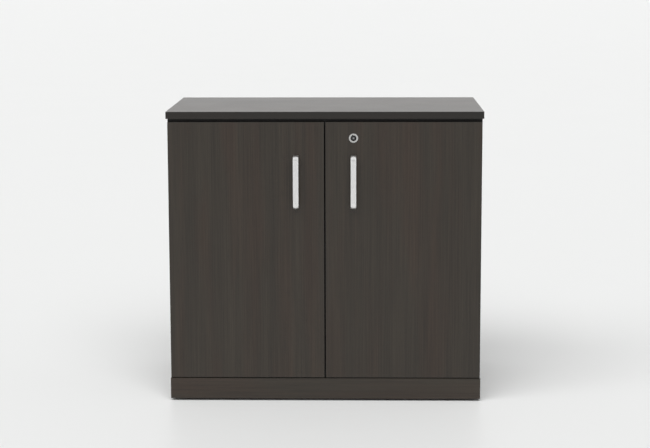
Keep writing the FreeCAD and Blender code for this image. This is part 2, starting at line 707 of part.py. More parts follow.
def corner_joints(name, label, source, x_from, inset):
    """Copies of a fitting at the eight places where the boards meet the sides."""
    parts = []
    for z in (f"({carcass_z} + Sizes.board_thickness / 2)", f"({slab_z} - Sizes.board_thickness / 2)"):
        for y in edge_rows(inset):
            at_y = f"({board_front_y} + {y})"
            parts.append(copy(source, (neg(x_from), at_y, z)))
            parts.append(copy(source, (x_from, at_y, z), TURN_ROUND))
    node(group(name, parts), label)


def make_joint_fittings():
    """Dowels and connecting bolts; each is drawn along +X from the side panel's inner face."""
    dowel_length = ex("({dowel_side_depth} + {dowel_board_depth} - 2 * {dowel_end_play})")
    peg = rod("dowel_peg", ("0", "0", "0"), ex("({dowel_radius} - {dowel_play})"), dowel_length, "x")
    dowel = group("dowel", [peg])
    start = f"({inner_x} + Sizes.dowel_side_depth - Sizes.dowel_end_play)"
    corner_joints("dowel_set", "dowels", dowel, start, "Sizes.dowel_inset")
    shank_length = ex("({cam_reach} - {cam_thread_radius})")
    thread = rod("bolt_thread", (neg("Sizes.cam_thread_length"), "0", "0"), "Sizes.cam_thread_radius",
                 ex("({cam_thread_length} + {overrun})"), "x")
    shank = rod("bolt_shank", ("0", "0", "0"), "Sizes.cam_bolt_radius", shank_length, "x")
    bolt = fuse("cam_bolt", [thread, shank])
    corner_joints("cam_bolt_set", "cam_bolts", bolt, inner_x, "Sizes.joint_inset")


def make_cams():
    """Cam fittings: turned from the hidden face, with a bore for the bolt and a driver slot."""
    radius = ex("({cam_radius} - {cam_play})")
    half = ex("({board_thickness} / 2)")
    depth = ex("({cam_depth} - {cam_play})")
    drum = rod("cam_drum", ("0", "0", f"({half} - {depth})"), radius, depth)
    eye = rod("cam_eye", (neg("Sizes.cam_reach"), "0", "0"), "Sizes.cam_bolt_bore", "Sizes.cam_reach", "x")
    slot_z = f"({half} - Sizes.cam_slot_depth)"
    slots = []
    for name, length, width in (("slot_a", radius, "Sizes.cam_slot_width / 2"),
                                ("slot_b", "Sizes.cam_slot_width / 2", radius)):
        slots.append(box("cam_" + name, (neg(length), neg(width), slot_z),
                         (f"(2 * {length})", f"(2 * ({width}))", "Sizes.cam_depth")))
    # The slots stop short of the rim, so that the drum stays whole
    core = rod("cam_core", ("0", "0", slot_z), ex("({cam_radius} - 2 * {cam_slot_width})"),
               "Sizes.cam_depth")
    cross = common("cam_cross", fuse("cam_slots", slots), core)
    cam = cut("cam_fitting", drum, [eye, cross])
    parts = []
    at_x = f"({inner_x} - Sizes.cam_reach)"
    for low in (True, False):
        z = f"({carcass_z} + {half})" if low else f"({slab_z} - {half})"
        for y in edge_rows("Sizes.joint_inset"):
            at_y = f"({board_front_y} + {y})"
            left_turn = FreeCAD.Rotation(V(1, 0, 0), 180) if low else FreeCAD.Rotation()
            right_turn = FreeCAD.Rotation(V(0, 1, 0), 180) if low else TURN_ROUND
            parts.append(copy(cam, (neg(at_x), at_y, z), left_turn))
            parts.append(copy(cam, (at_x, at_y, z), right_turn))
    node(group("cam_set", parts), "cam_fittings")


def make_slab_screws():
    source = screw("slab_screw", "Sizes.slab_screw_radius", "Sizes.slab_screw_length",
                   "Sizes.screw_head_radius", "Sizes.screw_head_thick")
    parts = [copy(source, (x, y, ceiling_z)) for x, y in slab_screw_spots("0", "0")]
    node(group("slab_screw_set", parts), "slab_screws")


# Shelf

def make_shelf():
    e = "Sizes.edging"
    half = f"({inner_x} - Sizes.shelf_play)"
    front = f"({carcass_front_y} + Sizes.shelf_setback)"
    depth = f"({back_panel_y} - Sizes.shelf_back_gap - {front} - {e})"
    width = f"(2 * {half})"
    thick = "Sizes.board_thickness"
    node(board("shelf", (neg(half), f"({front} + {e})", shelf_z), (width, depth, thick)), "shelf")
    node(box("shelf_strip", (neg(half), front, shelf_z), (width, e, thick)), "shelf_edging")


def make_bottom_panel():
    body = tie_board("bottom_panel", carcass_z, "+z", "-z")
    spots = []
    for sx, x, y, where in corner_spots():
        for side in (-1, 1):
            offset = f"{side} * Sizes.block_screw_offset"
            spots.append((f"({x} + {offset} + {inner_x})", f"({y} + {offset} - {board_front_y})"))
    bore(body, "block_pilots", "-z", spots, ex("({block_screw_radius} + {thread_play})"),
         ex("({block_screw_length} - {block_height} + {overrun})"))


def make_shelf_pins():
    radius = ex("({peg_diameter} / 2)")
    peg = rod("peg", (neg("Sizes.peg_set_in"), "0", "0"), radius,
              ex("({peg_set_in} + {peg_stand_out})"), "x")
    collar = rod("peg_collar", ("0", "0", "0"), "Sizes.peg_collar_radius", "Sizes.peg_collar_thick", "x")
    # The collar stands in the play between the side panel and the shelf's end
    source = fuse("shelf_pin", [peg, collar])
    parts = []
    for y in (front_row_y, rear_row_y):
        parts.append(copy(source, (neg(inner_x), y, peg_z)))
        parts.append(copy(source, (inner_x, y, peg_z), TURN_ROUND))
    node(group("shelf_pin_set", parts), "shelf_pins")


# Plinth and feet

block_x = f"({inner_x} - Sizes.block_size / 2)"
block_front_y = f"({door_back_y} + Sizes.block_size / 2)"
plinth_rear_y = f"({back_y} - Sizes.plinth_rear_inset - Sizes.board_thickness)"
block_rear_y = f"({plinth_rear_y} - Sizes.block_size / 2)"
block_z = f"({carcass_z} - Sizes.block_height)"


def corner_spots():
    return [(sx, x, y, where) for where, y in (("front", block_front_y), ("rear", block_rear_y))
            for sx, x in (("left", neg(block_x)), ("right", block_x))]


def make_plinth():
    t, high = "Sizes.board_thickness", "Sizes.plinth_height"
    z = "Sizes.foot_gap"
    front = (neg(half_width), front_y, z)
    node(board("plinth_front", front, ("Sizes.cabinet_width", t, high)), "plinth_front")
    rail = (t, ex("({cabinet_depth} - {board_thickness})"), high)
    node(board("plinth_left", (neg(half_width), door_back_y, z), rail), "plinth_left_rail")
    node(board("plinth_right", (inner_x, door_back_y, z), rail), "plinth_right_rail")
    rear = (neg(inner_x), plinth_rear_y, z)
    node(board("plinth_rear", rear, (f"(2 * {inner_x})", t, high)), "plinth_rear")


def make_blocks():
    half = ex("({block_size} / 2)")
    raw = box("block_raw", (neg(half), neg(half), "0"),
              ("Sizes.block_size", "Sizes.block_size", "Sizes.block_height"))
    stud = rod("block_bore", ("0", "0", neg("Sizes.overrun")), ex("({foot_stud_radius} + {foot_bore_play})"),
               ex("({block_height} + 2 * {overrun})"))
    seat = rod("block_seat", ("0", "0", neg("Sizes.overrun")), ex("({nut_barrel_radius} + {thread_play})"),
               ex("({nut_barrel_length} + {overrun})"))
    tools = [stud, seat]
    screw_radius = ex("({block_screw_radius} + {thread_play})")
    through = ex("({block_height} + 2 * {overrun})")
    for side in (-1, 1):
        offset = f"({side} * Sizes.block_screw_offset)"
        tools.append(rod("block_screw_bore", (offset, offset, neg("Sizes.overrun")), screw_radius, through))
    block = cut("corner_block", raw, tools)
    parts = [copy(block, (x, y, block_z)) for sx, x, y, where in corner_spots()]
    node(group("block_set", parts), "plinth_blocks")
    source = screw("block_screw", "Sizes.block_screw_radius", "Sizes.block_screw_length",
                   "Sizes.screw_head_radius", "Sizes.screw_head_thick")
    parts = []
    for sx, x, y, where in corner_spots():
        for side in (-1, 1):
            offset = f"{side} * Sizes.block_screw_offset"
            parts.append(copy(source, (f"({x} + {offset})", f"({y} + {offset})", block_z)))
    node(group("block_screw_set", parts), "plinth_screws")


def make_leveller_nuts():
    flange = rod("nut_flange", ("0", "0", neg("Sizes.nut_flange_thick")), "Sizes.nut_flange_radius",
                 "Sizes.nut_flange_thick")
    barrel = rod("nut_barrel", ("0", "0", "0"), "Sizes.nut_barrel_radius",
                 ex("({nut_barrel_length} - {thread_end_play})"))
    hole = rod("nut_bore", ("0", "0", neg("Sizes.nut_barrel_length")),
               ex("({foot_stud_radius} + {foot_stud_play})"), ex("(3 * {nut_barrel_length})"))
    nut = cut("leveller_nut", fuse("nut_body", [flange, barrel]), [hole])
    parts = [copy(nut, (x, y, block_z)) for sx, x, y, where in corner_spots()]
    node(group("nut_set", parts), "leveller_nuts")


def make_feet():
    """Levelling feet: rim, crowned pad, hexagon and stud, each free to turn in its nut."""
    for sx, x, y, where in corner_spots():
        name = f"{where}_{sx}_foot"
        rim = rod(name + "_rim", (x, y, "0"), "Sizes.foot_pad_radius", "Sizes.foot_rim_height")
        crown = taper(name + "_crown", (x, y, "Sizes.foot_rim_height"), "Sizes.foot_pad_radius",
                      "Sizes.foot_crown_radius", ex("({foot_pad_height} - {foot_rim_height})"))
        grip = hexagon(name + "_hex", (x, y, "Sizes.foot_pad_height"), "Sizes.foot_hex_radius",
                       "Sizes.foot_hex_height")
        stud = rod(name + "_stud", (x, y, "Sizes.foot_rim_height"), "Sizes.foot_stud_radius",
                   ex("({foot_stud_top} - {foot_rim_height})"))
        node(fuse(name, [rim, crown, grip, stud]), name)


# Doors

def door_low(left):
    return (neg(door_outer_x) if left else door_inner_x, front_y, door_z)


def make_door(name, left):
    """A door board with its cup bores, screw pilots and handle holes, and its edge strips."""
    e = "Sizes.edging"
    low = door_low(left)
    core_low = (f"({low[0]} + {e})", front_y, f"({door_z} + {e})")
    size = (f"({door_width} - 2 * {e})", "Sizes.board_thickness", f"({door_height} - 2 * {e})")
    body = board(name, core_low, size)
    way = -1 if left else 1

    def local(x, z):
        """A place given from the cabinet's middle and the floor, measured on this board."""
        return (f"({way} * ({x}) - {core_low[0]})", f"({z} - {core_low[2]})")

    cup_x = f"({door_outer_x} - Sizes.cup_inset)"
    hinge_levels = (low_hinge_z, high_hinge_z)
    bore(body, "cups", "+y", [local(cup_x, z) for z in hinge_levels], "Sizes.cup_radius",
         ex("({cup_depth} + {cup_play})"))
    screw_x = f"({cup_x} - Sizes.cup_screw_offset)"
    spots = [local(screw_x, f"({z} + {side} * Sizes.cup_screw_pitch / 2)")
             for z in hinge_levels for side in (-1, 1)]
    bore(body, "cup_pilots", "+y", spots, ex("({cup_screw_radius} + {thread_play})"),
         "Sizes.cup_screw_length")
    spots = [local("Sizes.handle_x", f"({handle_z} + {side} * Sizes.handle_pitch / 2)")
             for side in (-1, 1)]
    bore(body, "handle_holes", "+y", spots, ex("({handle_screw_radius} + {handle_bore_play})"))
    if left:
        spots = [local("Sizes.bolt_edge", z) for z in guide_screw_levels()]
        bore(body, "guide_pilots", "+y", spots, ex("({guide_screw_radius} + {thread_play})"),
             "Sizes.guide_screw_length")
    else:
        bore(body, "lock_bore", "+y", [local("Sizes.handle_x", lock_z)],
             ex("({lock_barrel_radius} + {lock_bore_play})"))
    node(body, name + "_panel")
    strips(name + "_strips", name + "_edging", low, (door_width, "Sizes.board_thickness", door_height))


def make_handle():
    """A bow handle swept from one foot to the other; its outer face is crowned."""
    body = new_body("handle", ("0", front_y, handle_z))
    half = ex("({handle_pitch} / 2)")
    reach = ex("({handle_projection} - {handle_thick} / 2)")
    bend = "Sizes.handle_bend"
    path = sketch_on(body, "handle_path", "YZ_Plane")
    out = num(reach)
    far = num(half)
    r = num(bend)
    k = math.sqrt(0.5)
    low_leg = path.addGeometry(Part.LineSegment(V(0, -far, 0), V(r - out, -far, 0)), False)
    low_bend = path.addGeometry(Part.Arc(V(r - out, -far, 0), V(r - out - r * k, r - far - r * k, 0),
                                         V(-out, r - far, 0)), False)
    grip = path.addGeometry(Part.LineSegment(V(-out, r - far, 0), V(-out, far - r, 0)), False)
    top_bend = path.addGeometry(Part.Arc(V(-out, far - r, 0), V(r - out - r * k, far - r + r * k, 0),
                                         V(r - out, far, 0)), False)
    top_leg = path.addGeometry(Part.LineSegment(V(r - out, far, 0), V(0, far, 0)), False)
    # Arcs run clockwise here, so each starts where its second point is
    for first, first_pos, second, second_pos in ((low_leg, 2, low_bend, 2), (low_bend, 1, grip, 1),
                                                 (grip, 2, top_bend, 2), (top_bend, 1, top_leg, 1)):
        path.addConstraint(Sketcher.Constraint("Tangent", first, first_pos, second, second_pos))
    pin_point(path, low_leg, 1, ("0", neg(half)))
    pin_point(path, top_leg, 2, ("0", half))
    path.addConstraint(Sketcher.Constraint("Horizontal", low_leg))
    path.addConstraint(Sketcher.Constraint("Vertical", grip))
    bind(path, "Radius", (low_bend,), bend)
    bind(path, "Radius", (top_bend,), bend)
    bind(path, "DistanceX", (-1, 1, grip, 1), neg(reach))
    section = sketch_on(body, "handle_section", "XZ_Plane")
    side = num(ex("({handle_width} / 2)"))
    inner = num(ex("(-{handle_pitch} / 2 + {handle_thick} / 2)"))
    outer = num(ex("(-{handle_pitch} / 2 - {handle_thick} / 2)"))
    shoulder = num(ex("(-{handle_pitch} / 2 - {handle_thick} / 2 + {handle_crown})"))
    left = section.addGeometry(Part.LineSegment(V(-side, inner, 0), V(-side, shoulder, 0)), False)
    crown = section.addGeometry(Part.Arc(V(-side, shoulder, 0), V(0, outer, 0), V(side, shoulder, 0)), False)
    right = section.addGeometry(Part.LineSegment(V(side, shoulder, 0), V(side, inner, 0)), False)
    flat = section.addGeometry(Part.LineSegment(V(side, inner, 0), V(-side, inner, 0)), False)
    for first, first_pos, second, second_pos in ((left, 2, crown, 1), (crown, 2, right, 1),
                                                 (right, 2, flat, 1), (flat, 2, left, 1)):
        section.addConstraint(Sketcher.Constraint("Coincident", first, first_pos, second, second_pos))
    inner_text = ex("(-{handle_pitch} / 2 + {handle_thick} / 2)")
    shoulder_text = ex("(-{handle_pitch} / 2 - {handle_thick} / 2 + {handle_crown})")
    half_text = ex("({handle_width} / 2)")
    pin_point(section, left, 1, (neg(half_text), inner_text))
    pin_point(section, left, 2, (neg(half_text), shoulder_text))
    pin_point(section, right, 1, (half_text, shoulder_text))
    pin_point(section, right, 2, (half_text, inner_text))
    crown_radius = ex("((({handle_width} / 2) ^ 2 + {handle_crown} ^ 2) / (2 * {handle_crown}))")
    bind(section, "Radius", (crown,), crown_radius)
    doc.recompute()
    sweep = body.newObject("PartDesign::AdditivePipe", "handle_sweep")
    sweep.Profile = section
    sweep.Spine = (path, [])
    doc.recompute()
    holes = sketch_on(body, "handle_threads", "XZ_Plane")
    for sign in (-1, 1):
        circle(holes, ("0", f"({sign} * {half})"), ex("({handle_screw_radius} + {thread_play})"))
    # The threaded holes run from the foot's face towards the front
    pocket(body, holes, ex("({handle_screw_grip} + {overrun})"), True)
    return body


def make_handles():
    source = make_handle()
    length = ex("({board_thickness} + {handle_screw_grip})")
    screw_source = screw("handle_screw", "Sizes.handle_screw_radius", length,
                         "Sizes.screw_head_radius", "Sizes.screw_head_thick")
    for side, sign in (("left", -1), ("right", 1)):
        x = f"({sign} * Sizes.handle_x)"
        node(group(side + "_bow", [copy(source, (x, front_y, handle_z))]), side + "_handle")
        levels = [f"({handle_z} + {end} * Sizes.handle_pitch / 2)" for end in (-1, 1)]
        parts = [copy(screw_source, (x, door_back_y, z), TURN["-y"]) for z in levels]
        node(group(side + "_bow_screws", parts), side + "_handle_screws")


def make_bumpers():
    source = taper("bumper", ("0", "0", "0"), "Sizes.bumper_radius", "Sizes.bumper_top_radius",
                   "Sizes.bumper_thick")
    low = f"({floor_z} - 2 * Sizes.bumper_radius)"
    high = f"({ceiling_z} + Sizes.bumper_radius + Sizes.edging)"
    for side, sign in (("left", -1), ("right", 1)):
        x = f"({sign} * ({door_inner_x} + Sizes.bumper_inset))"
        parts = [copy(source, (x, door_back_y, z), TURN["y"]) for z in (low, high)]
        node(group(side + "_bumper_set", parts), side + "_door_bumpers")


# Hinges: one is drawn at the left side, level with z = 0, and then copied and mirrored

hinge_edge_x = neg(door_outer_x)


def hinge_x(inwards):
    """A place measured inwards from the left door's outer edge."""
    return f"({hinge_edge_x} + {inwards})"


def hinge_y(depth):
    """A place measured from the door's back into the cabinet."""
    return f"({door_back_y} + {depth})"


def four_hinges(name, label, source):
    """Low and high copies on the left, mirrored to the right."""
    left = group(name + "_left", [copy(source, ("0", "0", z)) for z in (low_hinge_z, high_hinge_z)])
    right = mirrored(name + "_right", left)
    node(group(name + "_all", [left, right]), label)


def door_hinges(name, label, source):
    """The same, with a sub-part for each door."""
    left = group(name + "_left", [copy(source, ("0", "0", z)) for z in (low_hinge_z, high_hinge_z)])
    node(left, "left_" + label)
    node(mirrored(name + "_right", left), "right_" + label)


def make_cup():
    axis_x = hinge_x("Sizes.cup_inset")
    bottom = hinge_y("(-Sizes.cup_depth)")
    shell = rod("cup_shell", (axis_x, bottom, "0"), ex("({cup_radius} - {cup_play})"),
                "Sizes.cup_depth", "y")
    rim = rod("cup_rim", (axis_x, door_back_y, "0"), ex("({cup_radius} + {cup_rim_width})"),
              "Sizes.cup_flange_thick", "y")
    body = new_body("cup_flange", ("0", door_back_y, "0"))
    sketch = sketch_on(body, "cup_flange_face", "XZ_Plane")
    left = f"({axis_x} + Sizes.cup_screw_offset - Sizes.cup_flange_width / 2)"
    right = f"({axis_x} + Sizes.cup_screw_offset + Sizes.cup_flange_width / 2)"
    top = ex("({cup_flange_height} / 2)")
    r = "Sizes.cup_flange_round"
    outline(sketch, [(left, neg(top), r), (right, neg(top), r), (right, top, r), (left, top, r)])
    pad(body, sketch, "Sizes.cup_flange_thick", reverse=True)
    inside = ex("({cup_radius} - {cup_play} - {cup_wall})")
    hollow = rod("cup_hollow", (axis_x, f"({bottom} + Sizes.cup_floor)", "0"), inside,
                 ex("({cup_depth} + {overrun} + {cup_flange_thick})"), "y")
    tools = [hollow]
    screw_x = f"({axis_x} + Sizes.cup_screw_offset)"
    screw_radius = ex("({cup_screw_radius} + {thread_play})")
    through = ex("({cup_flange_thick} + 2 * {overrun})")
    for side in (-1, 1):
        at = (screw_x, hinge_y("(-Sizes.overrun)"), f"({side} * Sizes.cup_screw_pitch / 2)")
        tools.append(rod("cup_screw_hole", at, screw_radius, through, "y"))
    pan = cut("cup_pan", fuse("cup_solid", [shell, rim, body]), tools)
    # Two bearing cheeks rise from the floor at the edge side and hold the pin
    start = ex("({pivot_inset} - {cheek_width} / 2)")
    cheeks = []
    for side in (-1, 1):
        z = "Sizes.cheek_start" if side > 0 else neg("Sizes.cheek_end")
        cheeks.append(box("cup_cheek", (hinge_x(start), f"({bottom} + Sizes.cup_floor)", z),
                          ("Sizes.cheek_width", "Sizes.cheek_height", ex("({cheek_end} - {cheek_start})"))))
    room = rod("cup_room", (axis_x, bottom, "0"), ex("({cup_radius} - {cup_play} - {cup_wall} / 2)"),
               "Sizes.cup_depth", "y")
    seats = common("cup_cheeks", fuse("cheek_pair", cheeks), room)
    pin_x = hinge_x("Sizes.pivot_inset")
    pin_y = hinge_y("(-Sizes.pivot_depth)")
    bore_for_pin = rod("cup_pin_bore", (pin_x, pin_y, neg("Sizes.cheek_end")),
                       ex("({pivot_radius} + {pivot_seat_play})"), ex("(2 * {cheek_end})"))
    cup = cut("hinge_cup", fuse("cup_with_cheeks", [pan, seats]), [bore_for_pin])
    door_hinges("cups", "hinge_cups", cup)
    pin = rod("hinge_pin", (pin_x, pin_y, neg("Sizes.pivot_half_length")), "Sizes.pivot_radius",
              ex("(2 * {pivot_half_length})"))
    door_hinges("hinge_pin_set", "hinge_pins", group("hinge_pin_seated", [pin]))
    source = screw("cup_screw", "Sizes.cup_screw_radius", "Sizes.cup_screw_length",
                   "Sizes.cup_head_radius", "Sizes.cup_head_thick")
    spots = [(screw_x, hinge_y("Sizes.cup_flange_thick"), f"({side} * Sizes.cup_screw_pitch / 2)")
             for side in (-1, 1)]
    pair = group("cup_screw_pair", [copy(source, spot, TURN["-y"]) for spot in spots])
    door_hinges("cup_screw_set", "cup_screws", pair)


def make_arm():
    """The goose-neck arm: along the plate, out past the side panel, and back to the eye in the cup."""
    thick = "Sizes.arm_thick"
    face = f"({half_width} - Sizes.door_reveal - {inner_x} + Sizes.plate_thick)"
    eye = ("Sizes.pivot_inset", "(-Sizes.pivot_depth)")
    hook = new_body("arm_hook", (hinge_edge_x, door_back_y, "0"))
    sketch = sketch_on(hook, "arm_hook_profile", "XY_Plane")
    low = f"({eye[1]} - {thick} / 2)"
    high = f"({eye[1]} + {thick} / 2)"
    outside = f"({face} + {thick})"
    rear = "Sizes.arm_rear"
    bend = "Sizes.arm_bend"
    outline(sketch, [(eye[0], low), (outside, low, f"({bend} + {thick})"), (outside, rear), (face, rear),
                     (face, high, bend), (eye[0], high)])
    pad(hook, sketch, ex("(2 * {eye_half_width})"), symmetric=True)
    wide = box("arm_wide", (hinge_x(face), hinge_y("Sizes.arm_wide_start"), neg("Sizes.arm_half_width")),
               (thick, ex("({arm_rear} - {arm_wide_start})"), ex("(2 * {arm_half_width})")))
    knuckle = rod("arm_knuckle", (hinge_x(eye[0]), hinge_y(eye[1]), neg("Sizes.eye_half_width")),
                  "Sizes.eye_radius", ex("(2 * {eye_half_width})"))
    tools = [rod("arm_eye", (hinge_x(eye[0]), hinge_y(eye[1]), neg("Sizes.arm_half_width")),
                 ex("({pivot_radius} + {pivot_play})"), ex("(2 * {arm_half_width})"))]
    for at in ("Sizes.arm_screw_front", "Sizes.arm_screw_rear"):
        tools.append(rod("arm_screw_bore", (hinge_x("0"), hinge_y(at), "0"),
                         ex("({arm_screw_radius} + {thread_play})"), f"({outside} + Sizes.overrun)", "x"))
    arm = cut("hinge_arm", fuse("arm_solid", [hook, wide, knuckle]), tools)
    four_hinges("arms", "hinge_arms", arm)
    source = screw("arm_screw", "Sizes.arm_screw_radius", "Sizes.arm_screw_length",
                   "Sizes.screw_head_radius", "Sizes.screw_head_thick")
    pair = group("arm_screw_pair", [copy(source, (hinge_x(outside), hinge_y(at), "0"), TURN["-x"])
                                    for at in ("Sizes.arm_screw_front", "Sizes.arm_screw_rear")])
    four_hinges("arm_screw_set", "hinge_arm_screws", pair)


def make_plate():
    """The mounting plate on the side panel: a raised bar for the arm and two screwed wings."""
    low_y = f"({carcass_front_y} + Sizes.plate_front)"
    bar = box("plate_bar", (neg(inner_x), low_y, neg("Sizes.plate_half_width")),
              ("Sizes.plate_thick", "Sizes.plate_length", ex("(2 * {plate_half_width})")))
    wings = box("plate_wings",
                (neg(inner_x), f"({front_row_y} - Sizes.wing_half_width)", neg("Sizes.wing_half_height")),
                ("Sizes.wing_thick", ex("(2 * {wing_half_width})"), ex("(2 * {wing_half_height})")))
    tools = []
    behind = f"(-{inner_x} - Sizes.overrun)"
    through = ex("({plate_thick} + 2 * {overrun})")
    levels = [f"({side} * Sizes.plate_screw_pitch / 2)" for side in (-1, 1)]
    for z in levels:
        tools.append(rod("plate_hole", (behind, front_row_y, z),
                         ex("({plate_screw_radius} + {thread_play})"), through, "x"))
    for at in ("Sizes.arm_screw_front", "Sizes.arm_screw_rear"):
        tools.append(rod("plate_thread", (behind, hinge_y(at), "0"),
                         ex("({arm_screw_radius} + {thread_play})"), through, "x"))
    plate = cut("hinge_plate", fuse("plate_solid", [bar, wings]), tools)
    four_hinges("plates", "hinge_plates", plate)
    source = screw("plate_screw", "Sizes.plate_screw_radius",
                   ex("({plate_screw_length} + {wing_thick} - {thread_end_play})"),
                   "Sizes.screw_head_radius", "Sizes.screw_head_thick")
    seat_x = f"(-{inner_x} + Sizes.wing_thick)"
    pair = group("plate_screw_pair", [copy(source, (seat_x, front_row_y, z), TURN["-x"]) for z in levels])
    four_hinges("plate_screw_set", "hinge_plate_screws", pair)


# Lock in the right door, and its strike plate under the inner top

lock_face_y = f"({front_y} - Sizes.lock_flange_thick)"
# The index notch leans towards the doors' gap
NOTCH_TURN = FreeCAD.Rotation(V(0, 1, 0), -20)


def make_lock():
    """A tubular lock's housing: rosette with a round keyway, its index notch, barrel and back nut."""
    x = "Sizes.handle_x"
    straight = ex("({lock_flange_thick} - {lock_flange_bevel})")
    edge = (x, f"({front_y} - {straight})", lock_z)
    base = rod("rosette_base", edge, "Sizes.lock_flange_radius", straight, "y")
    rim = taper("rosette_rim", edge, "Sizes.lock_flange_radius",
                ex("({lock_flange_radius} - {lock_flange_bevel})"), "Sizes.lock_flange_bevel", "-y")
    barrel = rod("barrel", (x, front_y, lock_z), "Sizes.lock_barrel_radius", "Sizes.lock_barrel_length", "y")
    start = (x, f"({lock_face_y} - Sizes.overrun)", lock_z)
    core = rod("housing_core", start, ex("({plug_radius} + {plug_play})"),
               ex("({lock_flange_thick} + {lock_barrel_length} + 2 * {overrun})"), "y")
    keyway = rod("housing_keyway", start, "Sizes.lock_keyway_radius",
                 ex("({lock_keyway_depth} + {overrun})"), "y")
    notch = box("notch_upright", (ex("(-{lock_notch_width} / 2)"), neg("Sizes.overrun"), "0"),
                ("Sizes.lock_notch_width", ex("({lock_notch_depth} + {overrun})"), "Sizes.lock_notch_reach"))
    leaning = copy(group("notch", [notch]), (x, lock_face_y, lock_z), NOTCH_TURN)
    solid = fuse("housing_solid", [base, rim, barrel])
    node(cut("housing", solid, [core, keyway, leaning]), "lock_housing")
    nut_bore = rod("nut_hole", (x, f"({door_back_y} - Sizes.overrun)", lock_z),
                   ex("({lock_barrel_radius} + {thread_play})"),
                   ex("({lock_nut_thick} + 2 * {overrun})"), "y")
    nut = hexagon("nut_blank", (x, door_back_y, lock_z), "Sizes.lock_nut_radius",
                  "Sizes.lock_nut_thick", "y")
    node(cut("back_nut", nut, [nut_bore]), "lock_nut")


BOSS_ROUND_SHARE = 0.99


def make_plug():
    """The plug turns in the housing: post and pins in the keyway, and the cam screwed to its end."""
    x = "Sizes.handle_x"
    face_y = f"({lock_face_y} + Sizes.lock_keyway_depth - Sizes.plug_head_thick)"
    post_y = f"({lock_face_y} + Sizes.plug_post_inset)"
    end_y = f"({front_y} + Sizes.lock_barrel_length + Sizes.cam_blade_gap)"
    tail_y = f"({end_y} + Sizes.cam_blade_thick)"
    head = rod("plug_head", (x, face_y, lock_z), ex("({lock_keyway_radius} - {plug_play})"),
               ex("({plug_head_thick} - {plug_play})"), "y")
    drum = rod("plug_drum", (x, face_y, lock_z), "Sizes.plug_radius", f"({end_y} - {face_y})", "y")
    post = rod("plug_post", (x, post_y, lock_z), "Sizes.plug_post_radius", f"({end_y} - {post_y})", "y")
    tail = rod("plug_tail", (x, face_y, lock_z), "Sizes.plug_end_radius", f"({tail_y} - {face_y})", "y")
    thread = rod("plug_thread", (x, f"({tail_y} - Sizes.cam_screw_length - Sizes.thread_end_play)", lock_z),
                 ex("({cam_screw_radius} + {thread_play})"), ex("({cam_screw_length} + 2 * {overrun})"), "y")
    tools = [thread]
    for number in range(round(num("Sizes.plug_pin_count"))):
        angle = f"({number} * 360 / Sizes.plug_pin_count)"
        pin_x = f"({x} + Sizes.plug_pin_ring * sin({angle}))"
        pin_z = f"({lock_z} + Sizes.plug_pin_ring * cos({angle}))"
        tools.append(rod("plug_pin", (pin_x, f"({face_y} - Sizes.overrun)", pin_z), "Sizes.plug_pin_radius",
                         ex("({plug_pin_depth} + {overrun})"), "y"))
    node(cut("plug", fuse("plug_solid", [head, drum, post, tail]), tools), "lock_plug")
    blade = new_body("cam_blade", (x, end_y, lock_z))
    sketch = sketch_on(blade, "cam_blade_profile", "XZ_Plane")
    boss, tip, half = "Sizes.cam_boss_radius", "Sizes.cam_blade_length", "Sizes.cam_tip_half_width"
    round_tip, round_boss = "Sizes.cam_tip_round", f"({boss} * {BOSS_ROUND_SHARE})"
    outline(sketch, [(neg(boss), neg(boss), round_boss), ("0", neg(boss)), (tip, neg(half), round_tip),
                     (tip, half, round_tip), ("0", boss), (neg(boss), boss, round_boss)])
    pad(blade, sketch, "Sizes.cam_blade_thick", reverse=True)
    hole = sketch_on(blade, "cam_blade_hole", "XZ_Plane")
    circle(hole, ("0", "0"), ex("({plug_end_radius} + {thread_play})"))
    pocket(blade, hole)
    node(blade, "lock_cam")
    source = screw("cam_screw", "Sizes.cam_screw_radius", "Sizes.cam_screw_length",
                   "Sizes.cam_screw_head_radius", "Sizes.cam_screw_head_thick")
    node(group("cam_screw_one", [copy(source, (x, tail_y, lock_z), TURN["-y"])]), "lock_cam_screw")


STRIKE_SCREW_SHARE = 0.6
strike_screw_y = f"({carcass_front_y} + Sizes.strike_foot * {STRIKE_SCREW_SHARE})"


def catch_screw_spots():
    """Screws of the strike plate and of the bolt keeper, from the cabinet's middle."""
    strike = [(f"(Sizes.handle_x + {side} * Sizes.strike_screw_x)", strike_screw_y) for side in (-1, 1)]
    keeper = [(f"(-Sizes.bolt_edge + {side} * Sizes.keeper_screw_x)", bolt_y) for side in (-1, 1)]
    return strike + keeper


